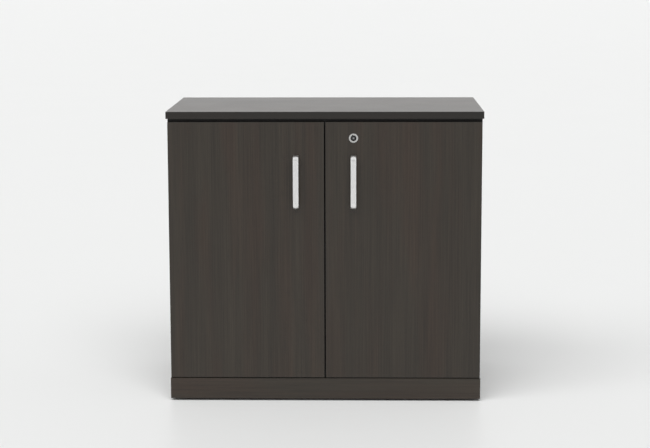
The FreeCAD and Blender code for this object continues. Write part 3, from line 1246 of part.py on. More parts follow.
def make_catches():
    """The strike plate, the keeper of the slide bolt and their screws, all under the inner top."""
    t = "Sizes.strike_thick"
    half = "Sizes.strike_half_width"
    body = new_body("strike", ("Sizes.handle_x", carcass_front_y, ceiling_z))
    sketch = sketch_on(body, "strike_profile", "YZ_Plane")
    foot, drop = "Sizes.strike_foot", neg("Sizes.strike_drop")
    outline(sketch, [("0", "0"), ("0", drop), (t, drop), (t, neg(t)), (foot, neg(t)), (foot, "0")])
    pad(body, sketch, f"(2 * {half})", symmetric=True)
    holes = sketch_on(body, "strike_holes", "XY_Plane")
    for side in (-1, 1):
        circle(holes, (f"({side} * Sizes.strike_screw_x)", f"({strike_screw_y} - {carcass_front_y})"),
               ex("({catch_screw_radius} + {thread_play})"))
    pocket(body, holes)
    node(body, "strike_plate")
    low = ("(-Sizes.bolt_edge - Sizes.keeper_half_width)", f"({bolt_y} - Sizes.keeper_depth / 2)",
           f"({ceiling_z} - Sizes.keeper_thick)")
    size = (ex("(2 * {keeper_half_width})"), "Sizes.keeper_depth", "Sizes.keeper_thick")
    keeper = box("keeper_blank", low, size)
    under = f"({ceiling_z} - Sizes.keeper_thick - Sizes.overrun)"
    through = ex("({keeper_thick} + 2 * {overrun})")
    tools = [rod("keeper_bore", (neg("Sizes.bolt_edge"), bolt_y, under),
                 ex("({bolt_radius} + {bolt_bore_play})"), through)]
    for x, y in catch_screw_spots()[2:]:
        tools.append(rod("keeper_screw_bore", (x, y, under),
                         ex("({catch_screw_radius} + {thread_play})"), through))
    node(cut("keeper", keeper, tools), "bolt_keeper")
    source = screw("catch_screw", "Sizes.catch_screw_radius", "Sizes.catch_screw_length",
                   "Sizes.catch_head_radius", "Sizes.catch_head_thick")
    spots = catch_screw_spots()
    parts = [copy(source, (x, y, f"({ceiling_z} - Sizes.strike_thick)")) for x, y in spots[:2]]
    parts += [copy(source, (x, y, f"({ceiling_z} - Sizes.keeper_thick)")) for x, y in spots[2:]]
    node(group("catch_screw_set", parts), "catch_screws")


# Slide bolt on the left door

guide_top_z = f"({ceiling_z} - Sizes.guide_drop)"
guide_z = f"({guide_top_z} - Sizes.guide_height)"
bolt_top_z = f"({ceiling_z} - Sizes.keeper_thick - Sizes.bolt_clear)"


def guide_screw_levels():
    return [f"({guide_z} + Sizes.guide_screw_inset)", f"({guide_top_z} - Sizes.guide_screw_inset)"]


def make_bolt():
    x = neg("Sizes.bolt_edge")
    plate = box("guide_plate", (f"({x} - Sizes.guide_half_width)", door_back_y, guide_z),
                (ex("(2 * {guide_half_width})"), "Sizes.guide_plate_thick", "Sizes.guide_height"))
    depth = ex("({bolt_axis} + {bolt_radius} + {loop_wall})")
    loops = [box("guide_loop", (f"({x} - Sizes.loop_half_width)", door_back_y, z),
                 (ex("(2 * {loop_half_width})"), depth, "Sizes.loop_height"))
             for z in (guide_z, f"({guide_top_z} - Sizes.loop_height)")]
    tools = [rod("guide_bore", (x, bolt_y, f"({guide_z} - Sizes.overrun)"),
                 ex("({bolt_radius} + {bolt_play})"), ex("({guide_height} + 2 * {overrun})"))]
    for z in guide_screw_levels():
        tools.append(rod("guide_hole", (x, f"({door_back_y} - Sizes.overrun)", z),
                         ex("({guide_screw_radius} + {thread_play})"),
                         ex("({guide_plate_thick} + 2 * {overrun})"), "y"))
    node(cut("guide", fuse("guide_solid", [plate] + loops), tools), "bolt_guide")
    length = ex("({guide_screw_length} + {guide_plate_thick} - {thread_end_play})")
    source = screw("guide_screw", "Sizes.guide_screw_radius", length,
                   "Sizes.catch_head_radius", "Sizes.catch_head_thick")
    parts = [copy(source, (x, f"({door_back_y} + Sizes.guide_plate_thick)", z), TURN["-y"])
             for z in guide_screw_levels()]
    node(group("guide_screw_set", parts), "bolt_guide_screws")
    body = rod("bolt_rod", (x, bolt_y, f"({bolt_top_z} - Sizes.bolt_length)"), "Sizes.bolt_radius",
               "Sizes.bolt_length")
    knob_z = f"(({guide_z} + {guide_top_z} - Sizes.bolt_travel) / 2)"
    knob = rod("bolt_knob", (x, bolt_y, knob_z), "Sizes.knob_radius", "Sizes.knob_length", "y")
    node(fuse("bolt", [body, knob]), "slide_bolt")


def check_document():
    """Stop when an object failed or a piece has no sound shape."""
    for obj in doc.Objects:
        if "Invalid" in obj.State or "Error" in obj.State:
            raise RuntimeError("failed object: " + obj.Name)
    for piece in NODES:
        shape = piece.Shape
        if shape.isNull() or not shape.isValid() or not shape.Solids:
            raise RuntimeError("unsound piece: " + piece.Label)


make_slab()
make_inner_top()
make_bottom_panel()
make_side("left_side", True)
make_side("right_side", False)
make_back_panel()
make_carcass_edging()
make_joint_fittings()
make_cams()
make_slab_screws()
make_shelf()
make_shelf_pins()
make_plinth()
make_blocks()
make_leveller_nuts()
make_feet()
make_door("left_door", True)
make_door("right_door", False)
make_handles()
make_bumpers()
make_cup()
make_arm()
make_plate()
make_lock()
make_plug()
make_catches()
make_bolt()
doc.recompute()
check_document()

os.makedirs("parts", exist_ok=True)
for piece in NODES:
    piece.Shape.exportStep("parts/" + piece.Label + ".step")
print(len(NODES), "sub-parts written")
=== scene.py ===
import math

import bmesh
import bpy
from mathutils import Euler, Matrix, Quaternion, Vector


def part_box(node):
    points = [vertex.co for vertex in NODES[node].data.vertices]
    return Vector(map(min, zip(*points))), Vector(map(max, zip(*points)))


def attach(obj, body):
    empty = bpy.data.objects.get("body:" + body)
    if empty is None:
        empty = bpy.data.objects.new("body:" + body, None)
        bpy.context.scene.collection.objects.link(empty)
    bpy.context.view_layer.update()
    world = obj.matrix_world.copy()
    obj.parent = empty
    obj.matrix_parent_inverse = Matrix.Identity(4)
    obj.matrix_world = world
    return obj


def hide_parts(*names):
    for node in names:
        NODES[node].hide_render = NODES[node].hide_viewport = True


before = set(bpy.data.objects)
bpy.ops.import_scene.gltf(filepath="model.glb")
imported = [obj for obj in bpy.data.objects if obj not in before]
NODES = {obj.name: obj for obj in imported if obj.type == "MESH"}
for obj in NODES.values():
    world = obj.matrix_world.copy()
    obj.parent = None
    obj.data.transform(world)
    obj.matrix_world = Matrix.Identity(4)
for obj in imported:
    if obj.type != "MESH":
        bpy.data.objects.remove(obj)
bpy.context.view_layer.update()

bl_info = {
    "name": "Storage cupboard",
    "version": (1, 0, 0),
    "blender": (4, 5, 0),
    "location": "3D View > Sidebar > Cupboard",
    "description": "Dresses the two-door storage cupboard and sets its stage",
    "category": "Add Mesh",
}

MM = 0.001
AXES = "xyz"
SIDES = ("left", "right")

# Name of the face attribute that marks rounded edges
WORN = "worn_edge"

# Distances under which points become one: in a copy of a CAD node, and along the seam of a turned shape
NODE_WELD = 0.002 * MM
SEAM_WELD = 0.0001 * MM

# How near to a face a point counts as lying on it
SKIN = 0.1 * MM

# Angles between faces: still one flat face, an edge worth rounding, an edge drawn sharp
FLAT_ANGLE = math.radians(0.4)
ROUNDED_ANGLE = math.radians(30)
SHARP_ANGLE = math.radians(50)


# Settings

class LaminateSettings(bpy.types.PropertyGroup):
    """Wood print of the boards and of their edge strips."""

    dark: bpy.props.FloatVectorProperty(
        name="Dark grain", description="Darkest streaks of the wood print",
        default=(0.0092, 0.0062, 0.0039), subtype="COLOR", min=0.0, max=1.0)
    light: bpy.props.FloatVectorProperty(
        name="Light grain", description="Lightest streaks of the wood print",
        default=(0.0368, 0.0282, 0.0200), subtype="COLOR", min=0.0, max=1.0)
    pore: bpy.props.FloatVectorProperty(
        name="Pores", description="Short dark pores of the wood print",
        default=(0.008, 0.0065, 0.0055), subtype="COLOR", min=0.0, max=1.0)
    edge: bpy.props.FloatVectorProperty(
        name="Edge strip", description="Plain colour of the edge strips",
        default=(0.0115, 0.0135, 0.0140), subtype="COLOR", min=0.0, max=1.0)
    scuff: bpy.props.FloatVectorProperty(
        name="Scuffs", description="Scuffed corners of the edge strips",
        default=(0.10, 0.092, 0.085), subtype="COLOR", min=0.0, max=1.0)
    streak: bpy.props.FloatProperty(
        name="Streak width", description="Width of a fine streak across the grain",
        default=0.0026, min=0.0005, unit="LENGTH")
    emboss: bpy.props.FloatProperty(
        name="Emboss depth", description="Depth of the pressed grain",
        default=0.00006, min=0.0, unit="LENGTH")
    board: bpy.props.FloatProperty(
        name="Board", description="Thickness of a board, as in the cupboard's own model",
        default=0.018, min=0.001, unit="LENGTH")
    strip: bpy.props.FloatProperty(
        name="Strip", description="Thickness of an edge strip, as in the cupboard's own model",
        default=0.001, min=0.0001, unit="LENGTH")
    band_round: bpy.props.FloatProperty(
        name="Strip rounding", description="Rounding of an edge strip's corners",
        default=0.0005, min=0.0001, unit="LENGTH")


class TimberSettings(bpy.types.PropertyGroup):
    """Raw wood: the chips inside a board, and the beech of dowels and corner blocks."""

    chip_dark: bpy.props.FloatVectorProperty(
        name="Dark chips", description="Darkest chips inside a board",
        default=(0.13, 0.078, 0.04), subtype="COLOR", min=0.0, max=1.0)
    chip_middle: bpy.props.FloatVectorProperty(
        name="Middle chips", description="Commonest chips inside a board",
        default=(0.36, 0.25, 0.15), subtype="COLOR", min=0.0, max=1.0)
    chip_light: bpy.props.FloatVectorProperty(
        name="Light chips", description="Lightest chips inside a board",
        default=(0.53, 0.41, 0.27), subtype="COLOR", min=0.0, max=1.0)
    chip_dust: bpy.props.FloatVectorProperty(
        name="Dust", description="Wood dust between the chips",
        default=(0.22, 0.15, 0.09), subtype="COLOR", min=0.0, max=1.0)
    beech_dark: bpy.props.FloatVectorProperty(
        name="Dark beech", description="Darker rings of the beech",
        default=(0.42, 0.26, 0.135), subtype="COLOR", min=0.0, max=1.0)
    beech_light: bpy.props.FloatVectorProperty(
        name="Light beech", description="Lighter rings of the beech",
        default=(0.58, 0.40, 0.235), subtype="COLOR", min=0.0, max=1.0)
    beech_fleck: bpy.props.FloatVectorProperty(
        name="Flecks", description="Short dark flecks of the beech",
        default=(0.24, 0.13, 0.06), subtype="COLOR", min=0.0, max=1.0)


class MetalSettings(bpy.types.PropertyGroup):
    """Colours of the metal fittings."""

    aluminium: bpy.props.FloatVectorProperty(
        name="Aluminium", description="Satin handles",
        default=(0.92, 0.915, 0.91), subtype="COLOR", min=0.0, max=1.0)
    chrome: bpy.props.FloatVectorProperty(
        name="Chrome", description="Rosette of the lock",
        default=(0.58, 0.575, 0.565), subtype="COLOR", min=0.0, max=1.0)
    nickel: bpy.props.FloatVectorProperty(
        name="Nickel", description="Hinges, bolt and shelf pins",
        default=(0.62, 0.59, 0.55), subtype="COLOR", min=0.0, max=1.0)
    zinc: bpy.props.FloatVectorProperty(
        name="Zinc", description="Screws and connecting fittings",
        default=(0.60, 0.62, 0.64), subtype="COLOR", min=0.0, max=1.0)
    post: bpy.props.FloatVectorProperty(
        name="Post", description="Steel post in the middle of the lock",
        default=(0.34, 0.34, 0.345), subtype="COLOR", min=0.0, max=1.0)
    # Keyway: blackened steel, made darker still as painted shade of the deep keyway and its notch
    keyway: bpy.props.FloatVectorProperty(
        name="Keyway", description="Blackened steel inside the lock",
        default=(0.045, 0.043, 0.042), subtype="COLOR", min=0.0, max=1.0)
    softening: bpy.props.FloatProperty(
        name="Edge softening", description="Rounding of a fitting's sharp edges",
        default=0.00025, min=0.00005, unit="LENGTH")


class PlasticSettings(bpy.types.PropertyGroup):
    """Colours of the moulded pieces."""

    black: bpy.props.FloatVectorProperty(
        name="Black", description="Pads of the levelling feet",
        default=(0.012, 0.012, 0.012), subtype="COLOR", min=0.0, max=1.0)
    grey: bpy.props.FloatVectorProperty(
        name="Grey", description="Soft stops on the doors",
        default=(0.30, 0.30, 0.285), subtype="COLOR", min=0.0, max=1.0)


class HandleSettings(bpy.types.PropertyGroup):
    """Sizes of the bow handles, as in the cupboard's own model."""

    pitch: bpy.props.FloatProperty(
        name="Screw pitch", description="Distance between the two feet",
        default=0.128, unit="LENGTH")
    width: bpy.props.FloatProperty(
        name="Bar width", description="Width of the bar, side to side",
        default=0.0145, unit="LENGTH")
    thick: bpy.props.FloatProperty(
        name="Bar thickness", description="Thickness of the bar",
        default=0.009, unit="LENGTH")
    crown: bpy.props.FloatProperty(
        name="Crown", description="Rise of the bar's outer face",
        default=0.0014, unit="LENGTH")
    bend: bpy.props.FloatProperty(
        name="Bend", description="Bend of the bar's middle line",
        default=0.009, unit="LENGTH")
    corner: bpy.props.FloatProperty(
        name="Corner", description="Rounding of the bar's long edges",
        default=0.0013, unit="LENGTH")


class LockSettings(bpy.types.PropertyGroup):
    """Pins of the tubular lock."""

    pin_count: bpy.props.IntProperty(
        name="Pins", description="Pins round the post of the lock", default=7, min=1)
    pin_ring: bpy.props.FloatProperty(
        name="Pin ring", description="Lock's axis to a pin", default=0.0043, unit="LENGTH")
    pin_radius: bpy.props.FloatProperty(
        name="Pin radius", description="Radius of a pin", default=0.00072, unit="LENGTH")
    pin_length: bpy.props.FloatProperty(
        name="Pin length", description="Length of a pin", default=0.0018, unit="LENGTH")
    pin_inset: bpy.props.FloatProperty(
        name="Pin inset", description="End of the post to a pin", default=0.0047, unit="LENGTH")


class FootSettings(bpy.types.PropertyGroup):
    """Sizes of a levelling foot, as in the cupboard's own model."""

    pad_height: bpy.props.FloatProperty(
        name="Pad height", description="Height of the pad", default=0.0045, unit="LENGTH")
    rim_height: bpy.props.FloatProperty(
        name="Rim height", description="Straight rim of the pad", default=0.002, unit="LENGTH")
    rib_depth: bpy.props.FloatProperty(
        name="Rib depth", description="Depth of the grooves in the rim", default=0.00045, unit="LENGTH")
    crown_radius: bpy.props.FloatProperty(
        name="Top radius", description="Radius of the pad at its top", default=0.014, unit="LENGTH")
    hex_radius: bpy.props.FloatProperty(
        name="Hexagon", description="Corner radius of the hexagon", default=0.0075, unit="LENGTH")
    hex_height: bpy.props.FloatProperty(
        name="Hexagon height", description="Height of the hexagon", default=0.004, unit="LENGTH")
    stud_radius: bpy.props.FloatProperty(
        name="Stud", description="Radius of the threaded stud", default=0.004, unit="LENGTH")
    pitch: bpy.props.FloatProperty(
        name="Pitch", description="Pitch of the stud's thread", default=0.00125, min=0.0002, unit="LENGTH")


class StageSettings(bpy.types.PropertyGroup):
    """Floor, light and camera."""

    floor: bpy.props.FloatVectorProperty(
        name="Floor", description="Colour of the floor",
        default=(0.82, 0.825, 0.82), subtype="COLOR", min=0.0, max=1.0)
    backdrop: bpy.props.FloatVectorProperty(
        name="Backdrop", description="Colour behind the floor",
        default=(0.90, 0.905, 0.90), subtype="COLOR", min=0.0, max=1.0)
    floor_half: bpy.props.FloatProperty(
        name="Floor size", description="Half the side of the floor",
        default=60.0, unit="LENGTH")
    key: bpy.props.FloatProperty(
        name="Key light", description="Strength of the key light from the left",
        default=0.85, min=0.0)
    fill: bpy.props.FloatProperty(
        name="Front light", description="Strength of the wide light from the front",
        default=2.1, min=0.0)
    sky: bpy.props.FloatProperty(
        name="Room light", description="Strength of the light from all round",
        default=0.98, min=0.0)
    lens: bpy.props.FloatProperty(
        name="Lens", description="Focal length of the camera in millimetres",
        default=95.85, unit="CAMERA")
    eye: bpy.props.FloatVectorProperty(
        name="Eye", description="Place of the camera",
        default=(0.0970, -4.568, 1.138), subtype="TRANSLATION", unit="LENGTH")
    pitch: bpy.props.FloatProperty(
        name="Tilt", description="Downward tilt of the camera",
        default=math.radians(8.80), subtype="ANGLE")
    yaw: bpy.props.FloatProperty(
        name="Turn", description="Turn of the camera to the left",
        default=math.radians(1.27), subtype="ANGLE")
    roll: bpy.props.FloatProperty(
        name="Roll", description="Roll of the camera",
        default=math.radians(-0.15), subtype="ANGLE")


# Node helpers

def put(tree, kind, inputs=None, **traits):
    """Add a node; an input is a number, a colour or another node's output."""
    node = tree.nodes.new(kind)
    for key, value in traits.items():
        setattr(node, key, value)
    for key, value in (inputs or {}).items():
        if isinstance(value, bpy.types.NodeSocket):
            tree.links.new(value, node.inputs[key])
        else:
            node.inputs[key].default_value = value
    return node


def maths(tree, operation, first, second=0.0):
    return put(tree, "ShaderNodeMath", {0: first, 1: second}, operation=operation).outputs[0]


def plus(tree, first, second):
    return maths(tree, "ADD", first, second)


def times(tree, first, second):
    return maths(tree, "MULTIPLY", first, second)


def ramp(tree, factor, stops):
    """Colours along a factor; stops are (position, colour)."""
    node = put(tree, "ShaderNodeValToRGB", {"Fac": factor})
    elements = node.color_ramp.elements
    while len(elements) < len(stops):
        elements.new(0.5)
    for element, (position, colour) in zip(elements, stops):
        element.position = position
        element.color = (*colour, 1.0)
    return node.outputs["Color"]


def grey(value):
    return (value, value, value)


def fading(tree, factor, stops):
    """Greys along a factor; stops are (position, grey)."""
    return ramp(tree, factor, [(position, grey(value)) for position, value in stops])


def mask(tree, factor, start, end):
    """Black up to start and white from end on."""
    return fading(tree, factor, ((start, 0.0), (end, 1.0)))


def blend_colour(tree, factor, first, second, way="MIX"):
    """Mix two colours, or multiply them."""
    node = put(tree, "ShaderNodeMix", data_type="RGBA", blend_type=way)
    for key, value in ((0, factor), (6, first), (7, second)):
        if isinstance(value, bpy.types.NodeSocket):
            tree.links.new(value, node.inputs[key])
        else:
            node.inputs[key].default_value = value if key == 0 else (*value, 1.0)
    return node.outputs[2]


def spread(tree, factor, low, high):
    """Turn a factor of 0 to 1 into a range."""
    inputs = {"Value": factor, "To Min": low, "To Max": high}
    return put(tree, "ShaderNodeMapRange", inputs).outputs["Result"]


def noise(tree, vector, scale, detail=2.0, rough=0.5, distortion=0.0):
    """Soft noise; scale is in patches to the metre."""
    node = put(tree, "ShaderNodeTexNoise", {"Vector": vector, "Scale": scale, "Detail": detail,
                                            "Roughness": rough, "Distortion": distortion})
    return node.outputs["Fac"]


def object_point(tree):
    """A point's place on its piece."""
    return put(tree, "ShaderNodeTexCoord").outputs["Object"]


def stretched(tree, vector, grain, along):
    """Coordinates drawn out along the grain; along is their scale that way."""
    scale = [1.0, 1.0, 1.0]
    scale[AXES.index(grain)] = along
    return put(tree, "ShaderNodeMapping", {"Vector": vector, "Scale": scale}).outputs["Vector"]


def fresh(name):
    """A new material, its tree and its shader."""
    material = bpy.data.materials.new(name)
    material.use_nodes = True
    tree = material.node_tree
    return material, tree, tree.nodes["Principled BSDF"]


def join(tree, shader, **links):
    """Set sockets of the shader; underscores stand for spaces in their names."""
    for key, value in links.items():
        socket = shader.inputs[key.replace("_", " ")]
        if isinstance(value, bpy.types.NodeSocket):
            tree.links.new(value, socket)
        else:
            socket.default_value = value


def bumped(tree, shader, height, distance, strength=1.0):
    """Raise the surface by a height of 0 to 1 over a distance."""
    node = put(tree, "ShaderNodeBump", {"Height": height, "Distance": distance, "Strength": strength})
    tree.links.new(node.outputs["Normal"], shader.inputs["Normal"])


# Finishes

def wood_print(tree, point, grain, settings):
    """Colour, height and fine streaks of the print: faint bands, warm and cool tints, streaks and pores."""
    streak_scale = 1.0 / settings.streak
    hairs_to_streak = 3.1
    bands = noise(tree, stretched(tree, point, grain, along=0.03), scale=44.0, distortion=0.2)
    tints = noise(tree, stretched(tree, point, grain, along=0.10), scale=20.0)
    fine = noise(tree, stretched(tree, point, grain, along=0.01), scale=streak_scale,
                 detail=5.0, rough=0.62, distortion=0.1)
    hair = noise(tree, stretched(tree, point, grain, along=0.03), scale=hairs_to_streak * streak_scale)
    pores = mask(tree, hair, start=0.60, end=0.70)
    band_share, fine_share, pore_share, relief = 0.22, 0.55, 0.45, 0.5
    tone = plus(tree, times(tree, bands, band_share), times(tree, fine, fine_share))
    wood = ramp(tree, tone, [(0.185, settings.dark[:]), (0.585, settings.light[:])])
    cool, warm = (0.98, 1.0, 0.98), (1.14, 0.97, 0.91)
    tinted = blend_colour(tree, 1.0, wood, ramp(tree, tints, [(0.44, cool), (0.66, warm)]), "MULTIPLY")
    colour = blend_colour(tree, times(tree, pores, pore_share), tinted, settings.pore[:])
    height = maths(tree, "SUBTRACT", times(tree, fine, relief), times(tree, pores, relief))
    return colour, height, fine


def chipboard(tree, point):
    """Colour and height of the pressed chips inside a board."""
    settings = bpy.context.scene.cupboard_timber
    chips = put(tree, "ShaderNodeTexVoronoi", {"Vector": point, "Scale": 420.0, "Randomness": 1.0})
    shade = put(tree, "ShaderNodeSeparateColor", {"Color": chips.outputs["Color"]}).outputs[0]
    pressed = ramp(tree, shade, [(0.0, settings.chip_dark[:]), (0.5, settings.chip_middle[:]),
                                 (1.0, settings.chip_light[:])])
    dust_share = 0.5
    dust = times(tree, noise(tree, point, scale=900.0, detail=3.0, rough=0.6), dust_share)
    return blend_colour(tree, dust, pressed, settings.chip_dust[:]), shade


def cut_spots(tree, coordinates, thick):
    """1 where a board is cut or bored, 0 on its faces and on the ends that show at the sides and back."""
    turned, margin = 0.7, 0.5 * MM
    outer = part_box("right_side")[1]
    normal = put(tree, "ShaderNodeSeparateXYZ", {"Vector": coordinates.outputs["Normal"]})
    place = put(tree, "ShaderNodeSeparateXYZ", {"Vector": coordinates.outputs["Object"]})
    across = maths(tree, "ABSOLUTE", normal.outputs[AXES.index(thick)])
    cut = maths(tree, "LESS_THAN", across, turned)
    inside_x = maths(tree, "LESS_THAN", maths(tree, "ABSOLUTE", place.outputs[0]), outer.x - margin)
    inside_y = maths(tree, "LESS_THAN", place.outputs[1], outer.y - margin)
    return times(tree, cut, times(tree, inside_x, inside_y))


def worn(tree, point, amount):
    """How worn a spot is: only on faces marked as rounded edges, and there in patches."""
    marked = put(tree, "ShaderNodeAttribute", attribute_name=WORN).outputs["Fac"]
    patches = mask(tree, noise(tree, point, scale=95.0, detail=4.0, rough=0.65), start=0.45, end=0.68)
    return times(tree, marked, times(tree, patches, amount))


def laminate(grain, thick=None):
    """Laminated board; where thick gives the axis of its thickness, its cuts and bores show chipboard."""
    name = f"laminate_grain_{grain}" + (f"_face_{thick}" if thick else "")
    known = bpy.data.materials.get(name)
    if known:
        return known
    settings = bpy.context.scene.cupboard_laminate
    material, tree, shader = fresh(name)
    coordinates = put(tree, "ShaderNodeTexCoord")
    point = coordinates.outputs["Object"]
    colour, height, fine = wood_print(tree, point, grain, settings)
    smudge = noise(tree, point, scale=9.0, detail=3.0, rough=0.55)
    sheen = plus(tree, spread(tree, fine, low=0.30, high=0.38), spread(tree, smudge, low=-0.03, high=0.03))
    if thick:
        raw = cut_spots(tree, coordinates, thick)
        raw_roughness = 0.85
        chips, chip_height = chipboard(tree, point)
        colour = blend_colour(tree, raw, colour, chips)
        sheen = maths(tree, "MAXIMUM", sheen, times(tree, raw, raw_roughness))
        height = blend_colour(tree, raw, height, chip_height)
    join(tree, shader, Base_Color=colour, Roughness=sheen, Specular_IOR_Level=0.5)
    bumped(tree, shader, height, settings.emboss)
    return material


def edge_print(grain):
    """Plastic edge strip with a faint wood print along it and scuffed corners."""
    name = "edge_strip_grain_" + grain
    known = bpy.data.materials.get(name)
    if known:
        return known
    settings = bpy.context.scene.cupboard_laminate
    material, tree, shader = fresh(name)
    point = object_point(tree)
    colour, height, fine = wood_print(tree, point, grain, settings)
    plain_share, scuffed_share, scuff_roughness = 0.6, 0.35, 0.3
    strip = blend_colour(tree, plain_share, colour, settings.edge[:])
    scuffs = worn(tree, point, scuffed_share)
    sheen = spread(tree, fine, low=0.34, high=0.44)
    join(tree, shader,
         Base_Color=blend_colour(tree, scuffs, strip, settings.scuff[:]),
         Roughness=plus(tree, sheen, times(tree, scuffs, scuff_roughness)),
         Specular_IOR_Level=0.35)
    bumped(tree, shader, height, settings.emboss, strength=0.5)
    return material


def metal(name, colour, roughness, brushed=None, mottle=0.04, depth=0.001 * MM):
    """Metal brushed along an axis or faintly mottled, with small stains and brighter rubbed edges."""
    known = bpy.data.materials.get(name)
    if known:
        return known
    material, tree, shader = fresh(name)
    point = object_point(tree)
    if brushed:
        drawn_out = stretched(tree, point, brushed, along=0.02)
        lines = noise(tree, drawn_out, scale=3600.0, detail=3.0, rough=0.6)
        darkest_line, gloss_change = 0.94, 0.04
    else:
        lines = noise(tree, point, scale=700.0, rough=0.4)
        darkest_line, gloss_change = 0.985, 0.015
    stains = noise(tree, point, scale=120.0, detail=3.0, rough=0.55)
    stain_depth, rubbed_gain, rubbed_lift, rubbed_share = 2.4, 1.15, 0.04, 0.8
    darker = tuple(value * (1.0 - stain_depth * mottle) for value in colour)
    brighter = tuple(min(1.0, value * rubbed_gain + rubbed_lift) for value in colour)
    rubbed = worn(tree, point, rubbed_share)
    stained = blend_colour(tree, mask(tree, stains, start=0.35, end=0.7), colour, darker)
    lined = fading(tree, lines, ((0.30, darkest_line), (0.60, 1.0)))
    gloss = plus(tree, spread(tree, lines, roughness - gloss_change, roughness + gloss_change),
                 spread(tree, stains, -mottle, mottle))
    unrubbed = blend_colour(tree, 1.0, stained, lined, "MULTIPLY")
    join(tree, shader,
         Base_Color=blend_colour(tree, rubbed, unrubbed, brighter),
         Metallic=1.0,
         Roughness=times(tree, gloss, spread(tree, rubbed, low=1.0, high=0.7)))
    bumped(tree, shader, lines, depth)
    return material


def aluminium():
    colour = bpy.context.scene.cupboard_metal.aluminium[:]
    return metal("brushed_aluminium", colour, roughness=0.36, brushed="z", mottle=0.02, depth=0.006 * MM)


def chrome():
    return metal("chrome_plate", bpy.context.scene.cupboard_metal.chrome[:], roughness=0.16, mottle=0.02)


def nickel():
    return metal("nickel_plate", bpy.context.scene.cupboard_metal.nickel[:], roughness=0.27)


def zinc():
    return metal("zinc_plate", bpy.context.scene.cupboard_metal.zinc[:], roughness=0.36, mottle=0.06)


def post_steel():
    return metal("post_steel", bpy.context.scene.cupboard_metal.post[:], roughness=0.38, mottle=0.03)


# Blackened steel for the keyway, darker than the metal is as painted shade of its hollows
def keyway_steel():
    return metal("keyway_steel", bpy.context.scene.cupboard_metal.keyway[:], roughness=0.45, mottle=0.08)


def moulded(name, colour, roughness, pebble_size):
    """Moulded plastic or rubber with a fine pressed texture and a little dust."""
    known = bpy.data.materials.get(name)
    if known:
        return known
    material, tree, shader = fresh(name)
    point = object_point(tree)
    pebble = put(tree, "ShaderNodeTexVoronoi", {"Vector": point, "Scale": 1.0 / pebble_size})
    dust = noise(tree, point, scale=70.0, detail=4.0, rough=0.6)
    dust_gain, dust_lift, smoother, rougher = 1.5, 0.01, 0.06, 0.08
    lighter = tuple(min(1.0, value * dust_gain + dust_lift) for value in colour)
    join(tree, shader,
         Base_Color=blend_colour(tree, mask(tree, dust, start=0.45, end=0.8), colour, lighter),
         Roughness=spread(tree, dust, roughness - smoother, roughness + rougher))
    bumped(tree, shader, pebble.outputs["Distance"], distance=0.03 * MM)
    return material


def black_plastic():
    colour = bpy.context.scene.cupboard_plastic.black[:]
    return moulded("black_moulding", colour, roughness=0.48, pebble_size=0.6 * MM)


def grey_rubber():
    colour = bpy.context.scene.cupboard_plastic.grey[:]
    return moulded("grey_rubber", colour, roughness=0.42, pebble_size=0.9 * MM)


def beech(grain):
    """Raw beech: pale wood with short dark flecks along the grain."""
    name = "beech_grain_" + grain
    known = bpy.data.materials.get(name)
    if known:
        return known
    settings = bpy.context.scene.cupboard_timber
    material, tree, shader = fresh(name)
    point = object_point(tree)
    rings = noise(tree, stretched(tree, point, grain, along=0.06), scale=130.0,
                  detail=4.0, rough=0.55, distortion=0.4)
    specks = noise(tree, stretched(tree, point, grain, along=0.12), scale=1500.0)
    flecks = mask(tree, specks, start=0.62, end=0.7)
    wood = ramp(tree, rings, [(0.3, settings.beech_dark[:]), (0.7, settings.beech_light[:])])
    fleck_share = 0.6
    join(tree, shader,
         Base_Color=blend_colour(tree, times(tree, flecks, fleck_share), wood, settings.beech_fleck[:]),
         Roughness=spread(tree, rings, low=0.55, high=0.7))
    bumped(tree, shader, rings, distance=0.08 * MM)
    return material


# Mesh helpers

def wear(obj, material):
    """Give an object this material alone."""
    obj.data.materials.clear()
    obj.data.materials.append(material)


def finished(name, mesh_source, body, materials, replaced=()):
    """Turn a bmesh into a piece that rides on a body and stands for CAD nodes."""
    mesh = bpy.data.meshes.new(name)
    for material in materials:
        mesh.materials.append(material)
    mesh_source.to_mesh(mesh)
    mesh_source.free()
    mesh.polygons.foreach_set("use_smooth", [True] * len(mesh.polygons))
    mesh.set_sharp_from_angle(angle=SHARP_ANGLE)
    piece = bpy.data.objects.new(name, mesh)
    bpy.context.scene.collection.objects.link(piece)
    flatter = piece.modifiers.new("flat faces stay flat", "WEIGHTED_NORMAL")
    flatter.keep_sharp = True
    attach(piece, body)
    if replaced:
        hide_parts(*replaced)
    return piece


def picked(geometry, kind):
    """The elements of one kind in an operator's result."""
    return [item for item in geometry if isinstance(item, kind)]


def merged_copy(node):
    """A CAD node's shape as a bmesh, with its triangles joined and flat faces made whole."""
    shape = bmesh.new()
    shape.from_mesh(NODES[node].data)
    bmesh.ops.remove_doubles(shape, verts=shape.verts, dist=NODE_WELD)
    bmesh.ops.dissolve_limit(shape, angle_limit=FLAT_ANGLE, verts=shape.verts, edges=shape.edges)
    return shape


def bevelled(shape, geometry, width, segments, affect="EDGES"):
    """Bevel edges or corners, and give the new faces."""
    made = bmesh.ops.bevel(shape, geom=geometry, offset=width, offset_type="OFFSET", segments=segments,
                           profile=0.5, affect=affect, clamp_overlap=True, material=-1)
    return made["faces"]


def rounded(shape, edges, width, segments):
    """Bevel edges and mark the new faces as worn."""
    layer = shape.faces.layers.float.get(WORN) or shape.faces.layers.float.new(WORN)
    for face in bevelled(shape, edges, width, segments):
        face[layer] = 1.0


def round_edges(shape, width):
    """Round every sharp edge of a bmesh."""
    sharp = [edge for edge in shape.edges if edge.is_manifold and edge.calc_face_angle() > ROUNDED_ANGLE]
    rounded(shape, sharp, width, segments=2)


